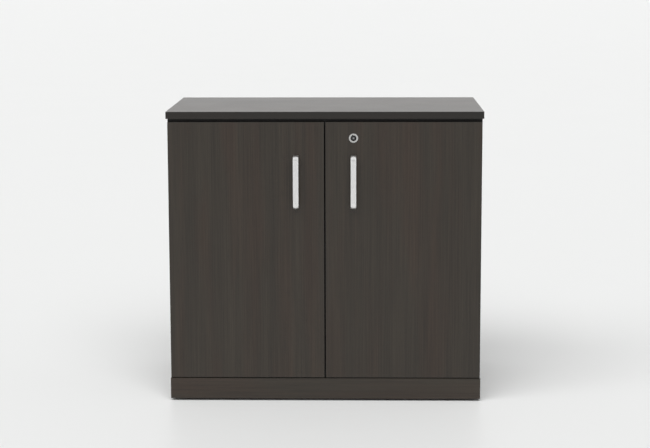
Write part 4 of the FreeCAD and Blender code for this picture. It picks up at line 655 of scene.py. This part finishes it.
def softened(node, body, material, width=None, second=None, takes_second=None):
    """A fitting with its sharp edges rounded, in place of its CAD node."""
    shape = merged_copy(node)
    round_edges(shape, width or bpy.context.scene.cupboard_metal.softening)
    materials = [material]
    if second:
        materials.append(second)
        for face in shape.faces:
            face.material_index = int(takes_second(face))
    return finished(node + "_softened", shape, body, materials, [node])


def islands(node):
    """The box of each separate solid of a CAD node."""
    shape = merged_copy(node)
    left = set(shape.verts)
    boxes = []
    while left:
        seed = left.pop()
        group = {seed}
        waiting = [seed]
        while waiting:
            for edge in waiting.pop().link_edges:
                for vert in edge.verts:
                    if vert in left:
                        left.remove(vert)
                        group.add(vert)
                        waiting.append(vert)
        low = Vector(min(vert.co[i] for vert in group) for i in range(3))
        high = Vector(max(vert.co[i] for vert in group) for i in range(3))
        boxes.append((low, high))
    shape.free()
    return sorted(boxes, key=lambda box: tuple(box[0]))


def lathe(profile, steps):
    """A turned shape about Z from a profile of (radius, height); it starts and ends on the axis."""
    shape = bmesh.new()
    verts = [shape.verts.new((radius, 0.0, height)) for radius, height in profile]
    edges = [shape.edges.new(pair) for pair in zip(verts, verts[1:])]
    bmesh.ops.spin(shape, geom=verts + edges, cent=(0, 0, 0), axis=(0, 0, 1), angle=math.tau, steps=steps,
                   use_merge=True)
    bmesh.ops.remove_doubles(shape, verts=shape.verts, dist=SEAM_WELD)
    bmesh.ops.recalc_face_normals(shape, faces=shape.faces)
    return shape


def towards(direction):
    """The turn that takes +Z to a direction."""
    return Vector((0, 0, 1)).rotation_difference(Vector(direction)).to_matrix().to_4x4()


def add_shape(target, source, matrix):
    """Copy one bmesh into another at a place."""
    mesh = bpy.data.meshes.new("passing")
    source.to_mesh(mesh)
    mesh.transform(matrix)
    target.from_mesh(mesh)
    bpy.data.meshes.remove(mesh)


def carved(shape, cutter):
    """Cut one bmesh out of another with a Boolean modifier."""
    objects = []
    for name, source in (("carved", shape), ("cutter", cutter)):
        mesh = bpy.data.meshes.new(name)
        source.to_mesh(mesh)
        source.free()
        obj = bpy.data.objects.new(name, mesh)
        bpy.context.scene.collection.objects.link(obj)
        objects.append(obj)
    base, tool = objects
    modifier = base.modifiers.new("carve", "BOOLEAN")
    modifier.operation = "DIFFERENCE"
    modifier.solver = "EXACT"
    modifier.object = tool
    bpy.context.view_layer.update()
    result = bmesh.new()
    result.from_object(base, bpy.context.evaluated_depsgraph_get())
    for obj in objects:
        mesh = obj.data
        bpy.data.objects.remove(obj)
        bpy.data.meshes.remove(mesh)
    if not result.faces:
        raise RuntimeError("the Boolean left nothing")
    return result


# Edge strips

def along_axis(axis, length):
    """A vector of a length along an axis."""
    vector = Vector((0, 0, 0))
    vector[axis] = length
    return vector


def on_outside(vert, low, high, sides, reach):
    """Whether a point is nearer than reach to one of the box's sides."""
    return any(min(abs(vert.co[i] - low[i]), abs(vert.co[i] - high[i])) < reach for i in sides)


def band(name, low, high, open_axis, wall, body, replaced, rounding):
    """A closed band of edge strip round a board: a frame across open_axis, rounded outside."""
    axis = AXES.index(open_axis)
    sides = [i for i in range(3) if i != axis]
    seat = (low + high) / 2
    seat[axis] = low[axis]
    shape = bmesh.new()
    lie_across = towards(along_axis(axis, 1.0))
    bmesh.ops.create_grid(shape, x_segments=1, y_segments=1, size=0.5, matrix=lie_across)
    bmesh.ops.scale(shape, vec=high - low, verts=shape.verts)
    bmesh.ops.translate(shape, vec=seat, verts=shape.verts)
    shape.normal_update()
    face = shape.faces[:][0]
    bmesh.ops.inset_region(shape, faces=[face], thickness=wall, use_boundary=True, use_even_offset=True)
    bmesh.ops.delete(shape, geom=[face], context="FACES_ONLY")
    made = bmesh.ops.extrude_face_region(shape, geom=list(shape.faces), use_keep_orig=True)
    far = picked(made["geom"], bmesh.types.BMVert)
    bmesh.ops.translate(shape, vec=along_axis(axis, high[axis] - low[axis]), verts=far)
    bmesh.ops.recalc_face_normals(shape, faces=shape.faces)
    outer = [edge for edge in shape.edges
             if all(on_outside(vert, low, high, sides, wall / 2) for vert in edge.verts)
             and edge.calc_face_angle(0.0) > ROUNDED_ANGLE]
    rounded(shape, outer, rounding, segments=3)
    for item in shape.faces:
        item.material_index = 1 if abs(item.normal[sides[0]]) > abs(item.normal[sides[1]]) else 0
    grains = [edge_print(AXES[i]) for i in sides]
    return finished(name, shape, body, grains, replaced)


class CUPBOARD_OT_edge_strips(bpy.types.Operator):
    """Wrap the slab, both doors, the cabinet's front and the shelf's front in rounded edge strip"""

    bl_idname = "cupboard.edge_strips"
    bl_label = "Edge strips"

    def execute(self, context):
        sizes = context.scene.cupboard_laminate
        low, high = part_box("top_slab_edging")
        band("slab_band", low, high, "z", sizes.strip, "root", ["top_slab_edging"], sizes.band_round)
        for side in SIDES:
            door = side + "_door"
            edging = door + "_edging"
            low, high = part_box(edging)
            band(door + "_band", low, high, "y", sizes.strip, door, [edging], sizes.band_round)
        low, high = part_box("carcass_edging")
        band("cabinet_front_band", low, high, "y", sizes.board, "root", ["carcass_edging"],
             sizes.band_round / 2)
        shape = merged_copy("shelf_edging")
        round_edges(shape, sizes.band_round)
        finished("shelf_band", shape, "root", [edge_print("x")], ["shelf_edging"])
        return {"FINISHED"}


class CUPBOARD_OT_boards(bpy.types.Operator):
    """Give every board its laminate, with the grain the way it runs on that board"""

    bl_idname = "cupboard.boards"
    bl_label = "Boards"

    # Way of the grain, thin way of the board, and the boards
    runs = (
        ("x", "z", ("top_slab", "inner_top", "bottom_panel", "shelf")),
        ("z", "x", ("left_side", "right_side")),
        ("z", "y", ("left_door_panel", "right_door_panel", "back_panel")),
    )
    plinth_grains = {"plinth_front": "x", "plinth_rear": "x",
                     "plinth_left_rail": "y", "plinth_right_rail": "y"}

    def execute(self, context):
        for grain, thick, names in self.runs:
            for name in names:
                wear(NODES[name], laminate(grain, thick))
        for name, grain in self.plinth_grains.items():
            softened(name, "root", laminate(grain), width=0.5 * MM)
        return {"FINISHED"}


# Handles

class CUPBOARD_OT_handles(bpy.types.Operator):
    """Sweep the two satin bow handles with a crowned, soft-edged bar"""

    bl_idname = "cupboard.handles"
    bl_label = "Handles"

    crown_steps = 5
    corner_steps = 5
    bend_steps = 12

    def execute(self, context):
        sizes = context.scene.cupboard_handle
        for side in SIDES:
            low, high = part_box(side + "_handle")
            middle = (low + high) / 2
            shape = self.bar(sizes, high.y - low.y)
            bmesh.ops.translate(shape, vec=(middle.x, high.y, middle.z), verts=shape.verts)
            finished(side + "_handle_bar", shape, side + "_door", [aluminium()],
                     [side + "_handle"])
        return {"FINISHED"}

    def bar(self, sizes, projection):
        """Section first, then leg, bend, grip, bend and leg, about the handle's middle."""
        half, thick, wide = sizes.pitch / 2, sizes.thick / 2, sizes.width / 2
        shape = bmesh.new()
        # The low leg's outer side looks down, so the crown is drawn there
        shares = [step / self.crown_steps for step in range(-self.crown_steps, self.crown_steps + 1)]
        crown = [(wide * share, sizes.crown * share ** 2 - thick) for share in shares]
        outline = [(-wide, thick)] + crown + [(wide, thick)]
        verts = [shape.verts.new((x, 0.0, z - half)) for x, z in outline]
        shape.faces.new(verts)
        corners = [vert for vert in verts if abs(vert.co.x) > wide - SKIN]
        bevelled(shape, corners, sizes.corner, self.corner_steps, "VERTICES")
        bmesh.ops.delete(shape, geom=list(shape.faces), context="FACES_ONLY")
        ring = list(shape.edges)
        leg = projection - thick - sizes.bend
        grip = sizes.pitch - 2 * sizes.bend
        ring = self.run(shape, ring, (0, -leg, 0))
        ring = self.turn(shape, ring, (0, -leg, sizes.bend - half))
        ring = self.run(shape, ring, (0, 0, grip))
        ring = self.turn(shape, ring, (0, -leg, half - sizes.bend))
        self.run(shape, ring, (0, leg, 0))
        bmesh.ops.holes_fill(shape, edges=[edge for edge in shape.edges if edge.is_boundary], sides=0)
        bmesh.ops.remove_doubles(shape, verts=shape.verts, dist=SEAM_WELD)
        bmesh.ops.recalc_face_normals(shape, faces=shape.faces)
        ends = [edge for edge in shape.edges if all(abs(vert.co.y) < NODE_WELD for vert in edge.verts)]
        bevelled(shape, ends, sizes.corner / 4, segments=2)
        return shape

    def run(self, shape, ring, move):
        """A straight length of the bar."""
        made = bmesh.ops.extrude_edge_only(shape, edges=ring)["geom"]
        bmesh.ops.translate(shape, vec=move, verts=picked(made, bmesh.types.BMVert))
        return picked(made, bmesh.types.BMEdge)

    def turn(self, shape, ring, centre):
        """A quarter turn about the X axis through a centre."""
        verts = list({vert for edge in ring for vert in edge.verts})
        made = bmesh.ops.spin(shape, geom=verts + ring, cent=centre, axis=(1, 0, 0), angle=-math.pi / 2,
                              steps=self.bend_steps, use_merge=False, use_duplicate=False)
        return picked(made["geom_last"], bmesh.types.BMEdge)


# Lock

class CUPBOARD_OT_lock(bpy.types.Operator):
    """Soften the edges of the lock's chrome rosette and its plug, and finish its nut, cam and pins"""

    bl_idname = "cupboard.lock"
    bl_label = "Lock"

    # Shares of the rosette's radius that take in the keyway's rim, and the notch beside it
    rim_share = 0.62
    notch_share = 0.79
    # Depths behind the rosette's face between which the notch is sunk
    notch_top = 0.4 * MM
    notch_floor = 2.6 * MM
    # How far behind its end the post turns near-black: blackened steel, darkened further as painted shade
    # down the keyway
    post_end_depth = 0.3 * MM
    # Bevel of a pin's end as a share of its radius
    pin_bevel = 0.3

    def execute(self, context):
        low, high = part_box("lock_housing")
        axis = (low + high) / 2
        rosette = (high.x - low.x) / 2
        post_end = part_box("lock_plug")[0].y

        def painted_shade_in_keyway(face):
            """Faces of the housing inside the keyway's rim, and those sunk in the notch beside it; they
            take the dark keyway steel, whose darkness is partly blackened steel and partly painted shade of
            these hollows.
            """
            reach = max(math.hypot(vert.co.x - axis.x, vert.co.z - axis.z) for vert in face.verts) / rosette
            depths = [vert.co.y - low.y for vert in face.verts]
            sunk = min(depths) > self.notch_top and max(depths) < self.notch_floor
            return reach < self.rim_share or (sunk and reach < self.notch_share)

        # Faces of the plug behind the post's end take the dark keyway steel, partly blackened steel and
        # partly painted shade down the keyway
        def painted_shade_behind_post(face):
            return all(vert.co.y > post_end + self.post_end_depth for vert in face.verts)

        softened("lock_housing", "right_door", chrome(), width=0.3 * MM,
                 second=keyway_steel(), takes_second=painted_shade_in_keyway)
        softened("lock_plug", "lock_core", post_steel(), width=0.2 * MM,
                 second=keyway_steel(), takes_second=painted_shade_behind_post)
        softened("lock_nut", "right_door", zinc())
        softened("lock_cam", "lock_core", zinc(), width=0.3 * MM)
        self.pins(context.scene.cupboard_lock, axis, post_end)
        return {"FINISHED"}

    def pins(self, sizes, axis, post_end):
        """The spring pins that stand in the plug's bores."""
        radius, length = sizes.pin_radius, sizes.pin_length
        bevel = radius * self.pin_bevel
        outline = [(0.0, 0.0), (radius - bevel, 0.0), (radius, bevel), (radius, length), (0.0, length)]
        pin = lathe(outline, steps=16)
        shape = bmesh.new()
        seat = Matrix.Translation((axis.x, post_end + sizes.pin_inset, axis.z))
        out = Matrix.Translation((0, 0, sizes.pin_ring))
        for number in range(sizes.pin_count):
            turn = Matrix.Rotation(math.tau * number / sizes.pin_count, 4, "Y")
            add_shape(shape, pin, seat @ turn @ out @ towards((0, 1, 0)))
        pin.free()
        finished("lock_pins", shape, "lock_core", [zinc()])


# Screws

# A pan head from its crown to its rim, as shares of its radius and height
PAN_HEAD = ((0.0, 1.0), (0.45, 0.97), (0.78, 0.8), (0.94, 0.5), (1.0, 0.16), (1.0, 0.0))

# A cross recess: length and width as shares of the head's radius, depth as a share of its height, and what
# is left of the length and width at its floor
RECESS_LENGTH = 1.15
RECESS_WIDTH = 0.26
RECESS_DEPTH = 0.65
RECESS_FLOOR = (0.35, 0.6, 1.0)

# A screw's tip: its length and the radius of its blunt end as shares of the shank's radius
TIP_LENGTH = 3.0
TIP_END = 0.1


def cross_head_screw(head_radius, head_height, shank_radius, length):
    """A pan-head screw with a cross recess, pointing along +Z from under its head."""
    tip = min(shank_radius * TIP_LENGTH, length / 3)
    head = [(head_radius * across, -head_height * up) for across, up in PAN_HEAD]
    shank = [(shank_radius, 0.0), (shank_radius, length - tip), (shank_radius * TIP_END, length),
             (0.0, length)]
    shape = lathe(head + shank, steps=24)
    # The cutter's middle lies on the crown, so half of it goes into the head
    recess = (head_radius * RECESS_LENGTH, head_radius * RECESS_WIDTH, 2 * head_height * RECESS_DEPTH)
    for turn in (0.0, math.pi / 2):
        cutter = bmesh.new()
        bmesh.ops.create_cube(cutter, size=1.0)
        bmesh.ops.scale(cutter, vec=recess, verts=cutter.verts)
        floor = [vert for vert in cutter.verts if vert.co.z > 0]
        bmesh.ops.scale(cutter, vec=RECESS_FLOOR, verts=floor)
        bmesh.ops.rotate(cutter, cent=(0, 0, 0), matrix=Matrix.Rotation(turn, 3, "Z"), verts=cutter.verts)
        bmesh.ops.translate(cutter, vec=(0, 0, -head_height), verts=cutter.verts)
        shape = carved(shape, cutter)
    return shape


class CUPBOARD_OT_screws(bpy.types.Operator):
    """Replace the plain screws with pan heads that have a cross recess"""

    bl_idname = "cupboard.screws"
    bl_label = "Screws"

    # Node, body, way from the head to the tip, and head height and shank radius in millimetres
    rows = (
        ("hinge_plate_screws", "root", "out", 2.2, 2.5),
        ("hinge_arm_screws", "root", "out", 2.2, 2.0),
        ("left_cup_screws", "left_door", "-y", 0.8, 1.75),
        ("right_cup_screws", "right_door", "-y", 0.8, 1.75),
        ("left_handle_screws", "left_door", "-y", 2.2, 2.0),
        ("right_handle_screws", "right_door", "-y", 2.2, 2.0),
        ("bolt_guide_screws", "left_door", "-y", 1.6, 1.6),
        ("catch_screws", "root", "+z", 1.6, 1.6),
        ("slab_screws", "root", "+z", 2.2, 2.0),
        ("plinth_screws", "root", "+z", 2.2, 2.25),
        ("lock_cam_screw", "lock_core", "-y", 2.2, 1.6),
    )
    # Each screw stops at its own turn: the first one's, and how much further each next one goes
    first_turn = 0.7
    next_turn = 1.3

    def execute(self, context):
        for node, body, way, head, shank in self.rows:
            target = bmesh.new()
            models = {}
            for number, (low, high) in enumerate(islands(node)):
                size = high - low
                seat = (low + high) / 2
                axis, sign = self.aim(way, seat)
                radius = min(size[i] for i in range(3) if i != axis) / 2
                length = size[axis] - head * MM
                key = (round(radius, 6), round(length, 6))
                if key not in models:
                    models[key] = cross_head_screw(radius, head * MM, shank * MM, length)
                seat[axis] = (low[axis] + head * MM) if sign > 0 else (high[axis] - head * MM)
                turn = Matrix.Rotation(self.first_turn + self.next_turn * number, 4, "Z")
                place = Matrix.Translation(seat) @ towards(along_axis(axis, sign)) @ turn
                add_shape(target, models[key], place)
            for shape in models.values():
                shape.free()
            finished(node + "_crossed", target, body, [zinc()], [node])
        return {"FINISHED"}

    def aim(self, way, middle):
        """Axis and sign of a way; "out" is towards the nearer side panel."""
        if way == "out":
            return 0, 1 if middle.x > 0 else -1
        return AXES.index(way[1]), 1 if way[0] == "+" else -1


# Hinges, catches and bolt

class CUPBOARD_OT_hinges(bpy.types.Operator):
    """Finish the goose-neck hinges: cups, arms and plates in nickel, pins in zinc"""

    bl_idname = "cupboard.hinges"
    bl_label = "Hinges"

    def execute(self, context):
        for side in SIDES:
            softened(side + "_hinge_cups", side + "_door", nickel(), width=0.2 * MM)
            wear(NODES[side + "_hinge_pins"], zinc())
        softened("hinge_arms", "root", nickel())
        softened("hinge_plates", "root", nickel(), width=0.4 * MM)
        return {"FINISHED"}


class CUPBOARD_OT_catches(bpy.types.Operator):
    """Finish the strike plate, the slide bolt, its guide and keeper, and the door bumpers"""

    bl_idname = "cupboard.catches"
    bl_label = "Catches"

    # Steps round the rod and round its knob
    rod_steps = 40
    knob_steps = 32
    # Height of the rod's domed tip, and the bevel of its other end, as shares of its radius
    dome_share = 0.7
    bevel_share = 0.15
    # The knob as shares of the rod's radius and of the knob's reach: neck, one grip ridge and rounded end
    neck = ((0.0, 0.0), (0.72, 0.0), (0.72, 0.42))
    ridge = ((0.98, 0.0), (0.98, 0.08), (0.86, 0.10), (0.86, 0.13))
    knob_end = ((1.0, 0.93), (0.9, 0.98), (0.6, 1.0), (0.0, 1.0))
    ridge_starts = (0.46, 0.61, 0.76)

    def execute(self, context):
        softened("strike_plate", "root", zinc())
        softened("bolt_keeper", "root", zinc())
        softened("bolt_guide", "left_door", nickel(), width=0.4 * MM)
        self.bolt()
        for side in SIDES:
            softened(side + "_door_bumpers", side + "_door", grey_rubber(), width=0.7 * MM)
        return {"FINISHED"}

    def bolt(self):
        """A round rod with a domed tip, and a knob with grip ridges."""
        low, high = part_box("slide_bolt")
        radius = (high.x - low.x) / 2
        middle_x = (low.x + high.x) / 2
        axis_y = low.y + radius
        shape = bmesh.new()
        rod = self.rod(radius, high.z - low.z)
        add_shape(shape, rod, Matrix.Translation((middle_x, axis_y, low.z)))
        rod.free()
        knob = self.knob(radius, high.y - axis_y)
        knob_face = [vert.co.z for vert in NODES["slide_bolt"].data.vertices if vert.co.y > high.y - SKIN]
        knob_z = (min(knob_face) + max(knob_face)) / 2
        add_shape(shape, knob, Matrix.Translation((middle_x, axis_y, knob_z)) @ towards((0, 1, 0)))
        knob.free()
        finished("slide_bolt_turned", shape, "slide_bolt", [nickel()],
                 ["slide_bolt"])

    def rod(self, radius, length):
        """The rod, standing on its flat end."""
        dome = radius * self.dome_share
        bevel = radius * self.bevel_share
        tip = [(radius * math.sin(angle), length - dome + dome * math.cos(angle))
               for angle in (math.pi / 2, math.pi / 3, math.pi / 6)]
        outline = [(0.0, 0.0), (radius - bevel, 0.0), (radius, bevel)] + tip + [(0.0, length)]
        return lathe(outline, self.rod_steps)

    def knob(self, radius, reach):
        """The knob, from the rod's axis to its grip."""
        ridges = [(across, start + up) for start in self.ridge_starts for across, up in self.ridge]
        outline = [*self.neck, *ridges, *self.knob_end]
        return lathe([(radius * across, reach * up) for across, up in outline], self.knob_steps)


# Shelf pins, joints and feet

class CUPBOARD_OT_fittings(bpy.types.Operator):
    """Finish the shelf pins, dowels, connecting bolts, cams, leveller nuts and corner blocks"""

    bl_idname = "cupboard.fittings"
    bl_label = "Fittings"

    # Least upward share of the normal of a face that counts as a top
    top_normal = 0.3

    def execute(self, context):
        def painted_shade_top(face):
            return face.normal.z > self.top_normal

        softened("shelf_pins", "root", nickel(), width=0.4 * MM)
        # The slot behind the plinth shows the tops of the blocks in the light, so their tops are painted
        # dark with the edge-strip print as painted shade
        softened("plinth_blocks", "root", beech("z"), width=0.6 * MM,
                 second=edge_print("x"), takes_second=painted_shade_top)
        softened("cam_fittings", "root", zinc())
        softened("leveller_nuts", "root", zinc())
        wear(NODES["dowels"], beech("x"))
        wear(NODES["cam_bolts"], zinc())
        return {"FINISHED"}


class CUPBOARD_OT_feet(bpy.types.Operator):
    """Finish the four levelling feet"""

    bl_idname = "cupboard.feet"
    bl_label = "Feet"

    # Steps round the pad, and how many of them make a groove and a rib
    pad_steps = 96
    rib_steps = 4
    stud_steps = 32
    # Width and height of the pad's bevels: under its rim, over it, and at its top
    under = (0.8 * MM, 0.5 * MM)
    over = (0.5 * MM, 0.4 * MM)
    shoulder = (0.6 * MM, 0.2 * MM)
    # The thread as shares of its pitch: depth, and where the crest starts and ends
    thread_depth = 0.55
    crest = (0.44, 0.56)
    plain_end = 1.0 * MM

    def execute(self, context):
        sizes = context.scene.cupboard_foot
        for name in ("front_left_foot", "front_right_foot", "rear_left_foot", "rear_right_foot"):
            low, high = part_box(name)
            axis = Matrix.Translation(((low.x + high.x) / 2, (low.y + high.y) / 2, 0.0))
            pad = self.pad(sizes, (high.x - low.x) / 2)
            stud = self.stud(sizes, high.z)
            shape = bmesh.new()
            add_shape(shape, pad, axis)
            pad_faces = len(shape.faces)
            add_shape(shape, stud, axis)
            shape.faces.ensure_lookup_table()
            for face in shape.faces[pad_faces:]:
                face.material_index = 1
            pad.free()
            stud.free()
            finished(name + "_ribbed", shape, name, [black_plastic(), zinc()], [name])
        return {"FINISHED"}

    def pad(self, sizes, radius):
        """A pad with ribs round its rim, a sloping shoulder and a hexagon on top."""
        top, rim, crown = sizes.pad_height, sizes.rim_height, sizes.crown_radius
        profile = [(0.0, 0.0), (radius - self.under[0], 0.0), (radius, self.under[1]),
                   (radius, rim - self.over[1]), (radius - self.over[0], rim),
                   (crown + self.shoulder[0], top - self.shoulder[1]), (crown, top), (0.0, top)]
        shape = lathe(profile, self.pad_steps)
        for vert in shape.verts:
            reach = math.hypot(vert.co.x, vert.co.y)
            step = round(math.atan2(vert.co.y, vert.co.x) / math.tau * self.pad_steps)
            if reach > radius - SKIN and step % self.rib_steps in (0, 1):
                vert.co.xy *= (radius - sizes.rib_depth) / radius
        hexagon = bmesh.new()
        bmesh.ops.create_cone(hexagon, cap_ends=True, segments=6, radius1=sizes.hex_radius,
                              radius2=sizes.hex_radius, depth=sizes.hex_height)
        bmesh.ops.translate(hexagon, vec=(0, 0, top + sizes.hex_height / 2), verts=hexagon.verts)
        round_edges(hexagon, width=0.4 * MM)
        add_shape(shape, hexagon, Matrix.Identity(4))
        hexagon.free()
        return shape

    def stud(self, sizes, top):
        """A stud with a thread of one ridge to each pitch."""
        start = sizes.pad_height + sizes.hex_height
        pitch, ridge = sizes.pitch, sizes.stud_radius
        root = ridge - self.thread_depth * pitch
        profile = [(0.0, start), (root, start)]
        for number in range(int((top - start - self.plain_end) / pitch)):
            z = start + number * pitch
            profile += [(ridge, z + share * pitch) for share in self.crest]
            profile.append((root, z + pitch))
        profile += [(root, top), (0.0, top)]
        return lathe(profile, self.stud_steps)


# Stage

class CUPBOARD_OT_stage(bpy.types.Operator):
    """Lay the pale floor, set the light and stand the camera where the view was taken"""

    bl_idname = "cupboard.stage"
    bl_label = "Stage"

    # Each lamp's spread in degrees and the side that it shines from
    lamps = {"key": (35.0, (-0.60, -0.50, 0.80)), "fill": (50.0, (0.05, -0.70, 0.80))}
    # How the room's light fades: towards straight ahead, with height, and with height in reflections
    ahead = ((0.0, 1.0), (0.60, 0.97), (0.88, 0.66), (1.0, 0.48))
    upward = ((0.0, 1.0), (0.15, 0.95), (0.36, 0.40), (1.0, 0.26))
    ceiling = ((0.0, 1.0), (0.45, 1.0), (1.0, 0.88))
    sensor_width = 36.0
    far_end = 200.0

    def execute(self, context):
        settings = context.scene.cupboard_stage
        self.floor(settings)
        self.light(settings)
        self.room(context.scene, settings)
        self.camera(context.scene, settings)
        context.scene.view_settings.view_transform = "Standard"
        return {"FINISHED"}

    def floor(self, settings):
        """A wide pale floor with a faint sheen."""
        shape = bmesh.new()
        bmesh.ops.create_grid(shape, x_segments=1, y_segments=1, size=settings.floor_half)
        mesh = bpy.data.meshes.new("floor")
        shape.to_mesh(mesh)
        shape.free()
        floor = bpy.data.objects.new("floor", mesh)
        bpy.context.scene.collection.objects.link(floor)
        material, tree, shader = fresh("pale_floor")
        clouds = noise(tree, object_point(tree), scale=1.6, detail=3.0)
        join(tree, shader, Base_Color=(*settings.floor, 1.0),
             Roughness=spread(tree, clouds, low=0.36, high=0.44), Specular_IOR_Level=0.08)
        wear(floor, material)

    def light(self, settings):
        """Two wide lamps that show in no reflection."""
        for name, (angle, side) in self.lamps.items():
            lamp = bpy.data.lights.new(name, "SUN")
            lamp.energy = getattr(settings, name)
            lamp.angle = math.radians(angle)
            light = bpy.data.objects.new(name, lamp)
            light.rotation_mode = "QUATERNION"
            light.rotation_quaternion = Vector(side).to_track_quat("Z", "Y")
            light.visible_glossy = False
            bpy.context.scene.collection.objects.link(light)

    def room(self, scene, settings):
        """Light that fades upwards and straight ahead of the doors, plain where the camera sees it."""
        world = bpy.data.worlds.new("room")
        scene.world = world
        world.use_nodes = True
        tree = world.node_tree
        tree.nodes.clear()
        heading = put(tree, "ShaderNodeTexCoord").outputs["Generated"]
        parts = put(tree, "ShaderNodeSeparateXYZ", {"Vector": heading})
        ahead = fading(tree, times(tree, parts.outputs[1], -1.0), self.ahead)
        upward = fading(tree, parts.outputs[2], self.upward)
        ceiling = fading(tree, parts.outputs[2], self.ceiling)
        path = put(tree, "ShaderNodeLightPath")
        height = blend_colour(tree, path.outputs["Is Glossy Ray"], upward, ceiling)
        level = blend_colour(tree, 1.0, ahead, height, "MULTIPLY")
        lit = put(tree, "ShaderNodeBackground", {"Color": level, "Strength": settings.sky})
        seen = put(tree, "ShaderNodeBackground", {"Color": (*settings.backdrop, 1.0), "Strength": 1.0})
        chosen = put(tree, "ShaderNodeMixShader",
                     {0: path.outputs["Is Camera Ray"], 1: lit.outputs[0], 2: seen.outputs[0]})
        put(tree, "ShaderNodeOutputWorld", {"Surface": chosen.outputs[0]})

    def camera(self, scene, settings):
        """The camera at the place and angle of the view, with no shift."""
        data = bpy.data.cameras.new("view")
        data.lens = settings.lens
        data.sensor_width = self.sensor_width
        data.clip_end = self.far_end
        camera = bpy.data.objects.new("view", data)
        camera.location = settings.eye
        camera.rotation_mode = "QUATERNION"
        aim = Euler((math.pi / 2 - settings.pitch, 0.0, settings.yaw)).to_quaternion()
        camera.rotation_quaternion = aim @ Quaternion((0, 0, 1), settings.roll)
        scene.collection.objects.link(camera)
        scene.camera = camera


# Add-on

class CUPBOARD_PT_panel(bpy.types.Panel):
    """Sidebar panel with the steps in their order"""

    bl_idname = "CUPBOARD_PT_panel"
    bl_label = "Storage cupboard"
    bl_space_type = "VIEW_3D"
    bl_region_type = "UI"
    bl_category = "Cupboard"

    def draw(self, context):
        for step in STEPS:
            self.layout.operator(step.bl_idname)
        for name in GROUPS:
            group = getattr(context.scene, name)
            box = self.layout.box()
            for prop in group.__annotations__:
                box.prop(group, prop)


GROUPS = {
    "cupboard_laminate": LaminateSettings,
    "cupboard_timber": TimberSettings,
    "cupboard_metal": MetalSettings,
    "cupboard_plastic": PlasticSettings,
    "cupboard_handle": HandleSettings,
    "cupboard_lock": LockSettings,
    "cupboard_foot": FootSettings,
    "cupboard_stage": StageSettings,
}
STEPS = (
    CUPBOARD_OT_stage,
    CUPBOARD_OT_boards,
    CUPBOARD_OT_edge_strips,
    CUPBOARD_OT_handles,
    CUPBOARD_OT_lock,
    CUPBOARD_OT_screws,
    CUPBOARD_OT_hinges,
    CUPBOARD_OT_catches,
    CUPBOARD_OT_fittings,
    CUPBOARD_OT_feet,
)


def register():
    for group in GROUPS.values():
        bpy.utils.register_class(group)
    for name, group in GROUPS.items():
        setattr(bpy.types.Scene, name, bpy.props.PointerProperty(type=group))
    for step in STEPS:
        bpy.utils.register_class(step)
    bpy.utils.register_class(CUPBOARD_PT_panel)


def unregister():
    bpy.utils.unregister_class(CUPBOARD_PT_panel)
    for step in reversed(STEPS):
        bpy.utils.unregister_class(step)
    for name, group in GROUPS.items():
        delattr(bpy.types.Scene, name)
        bpy.utils.unregister_class(group)


def main():
    register()
    for step in STEPS:
        group, name = step.bl_idname.split(".")
        getattr(getattr(bpy.ops, group), name)()


if __name__ == "__main__":
    main()
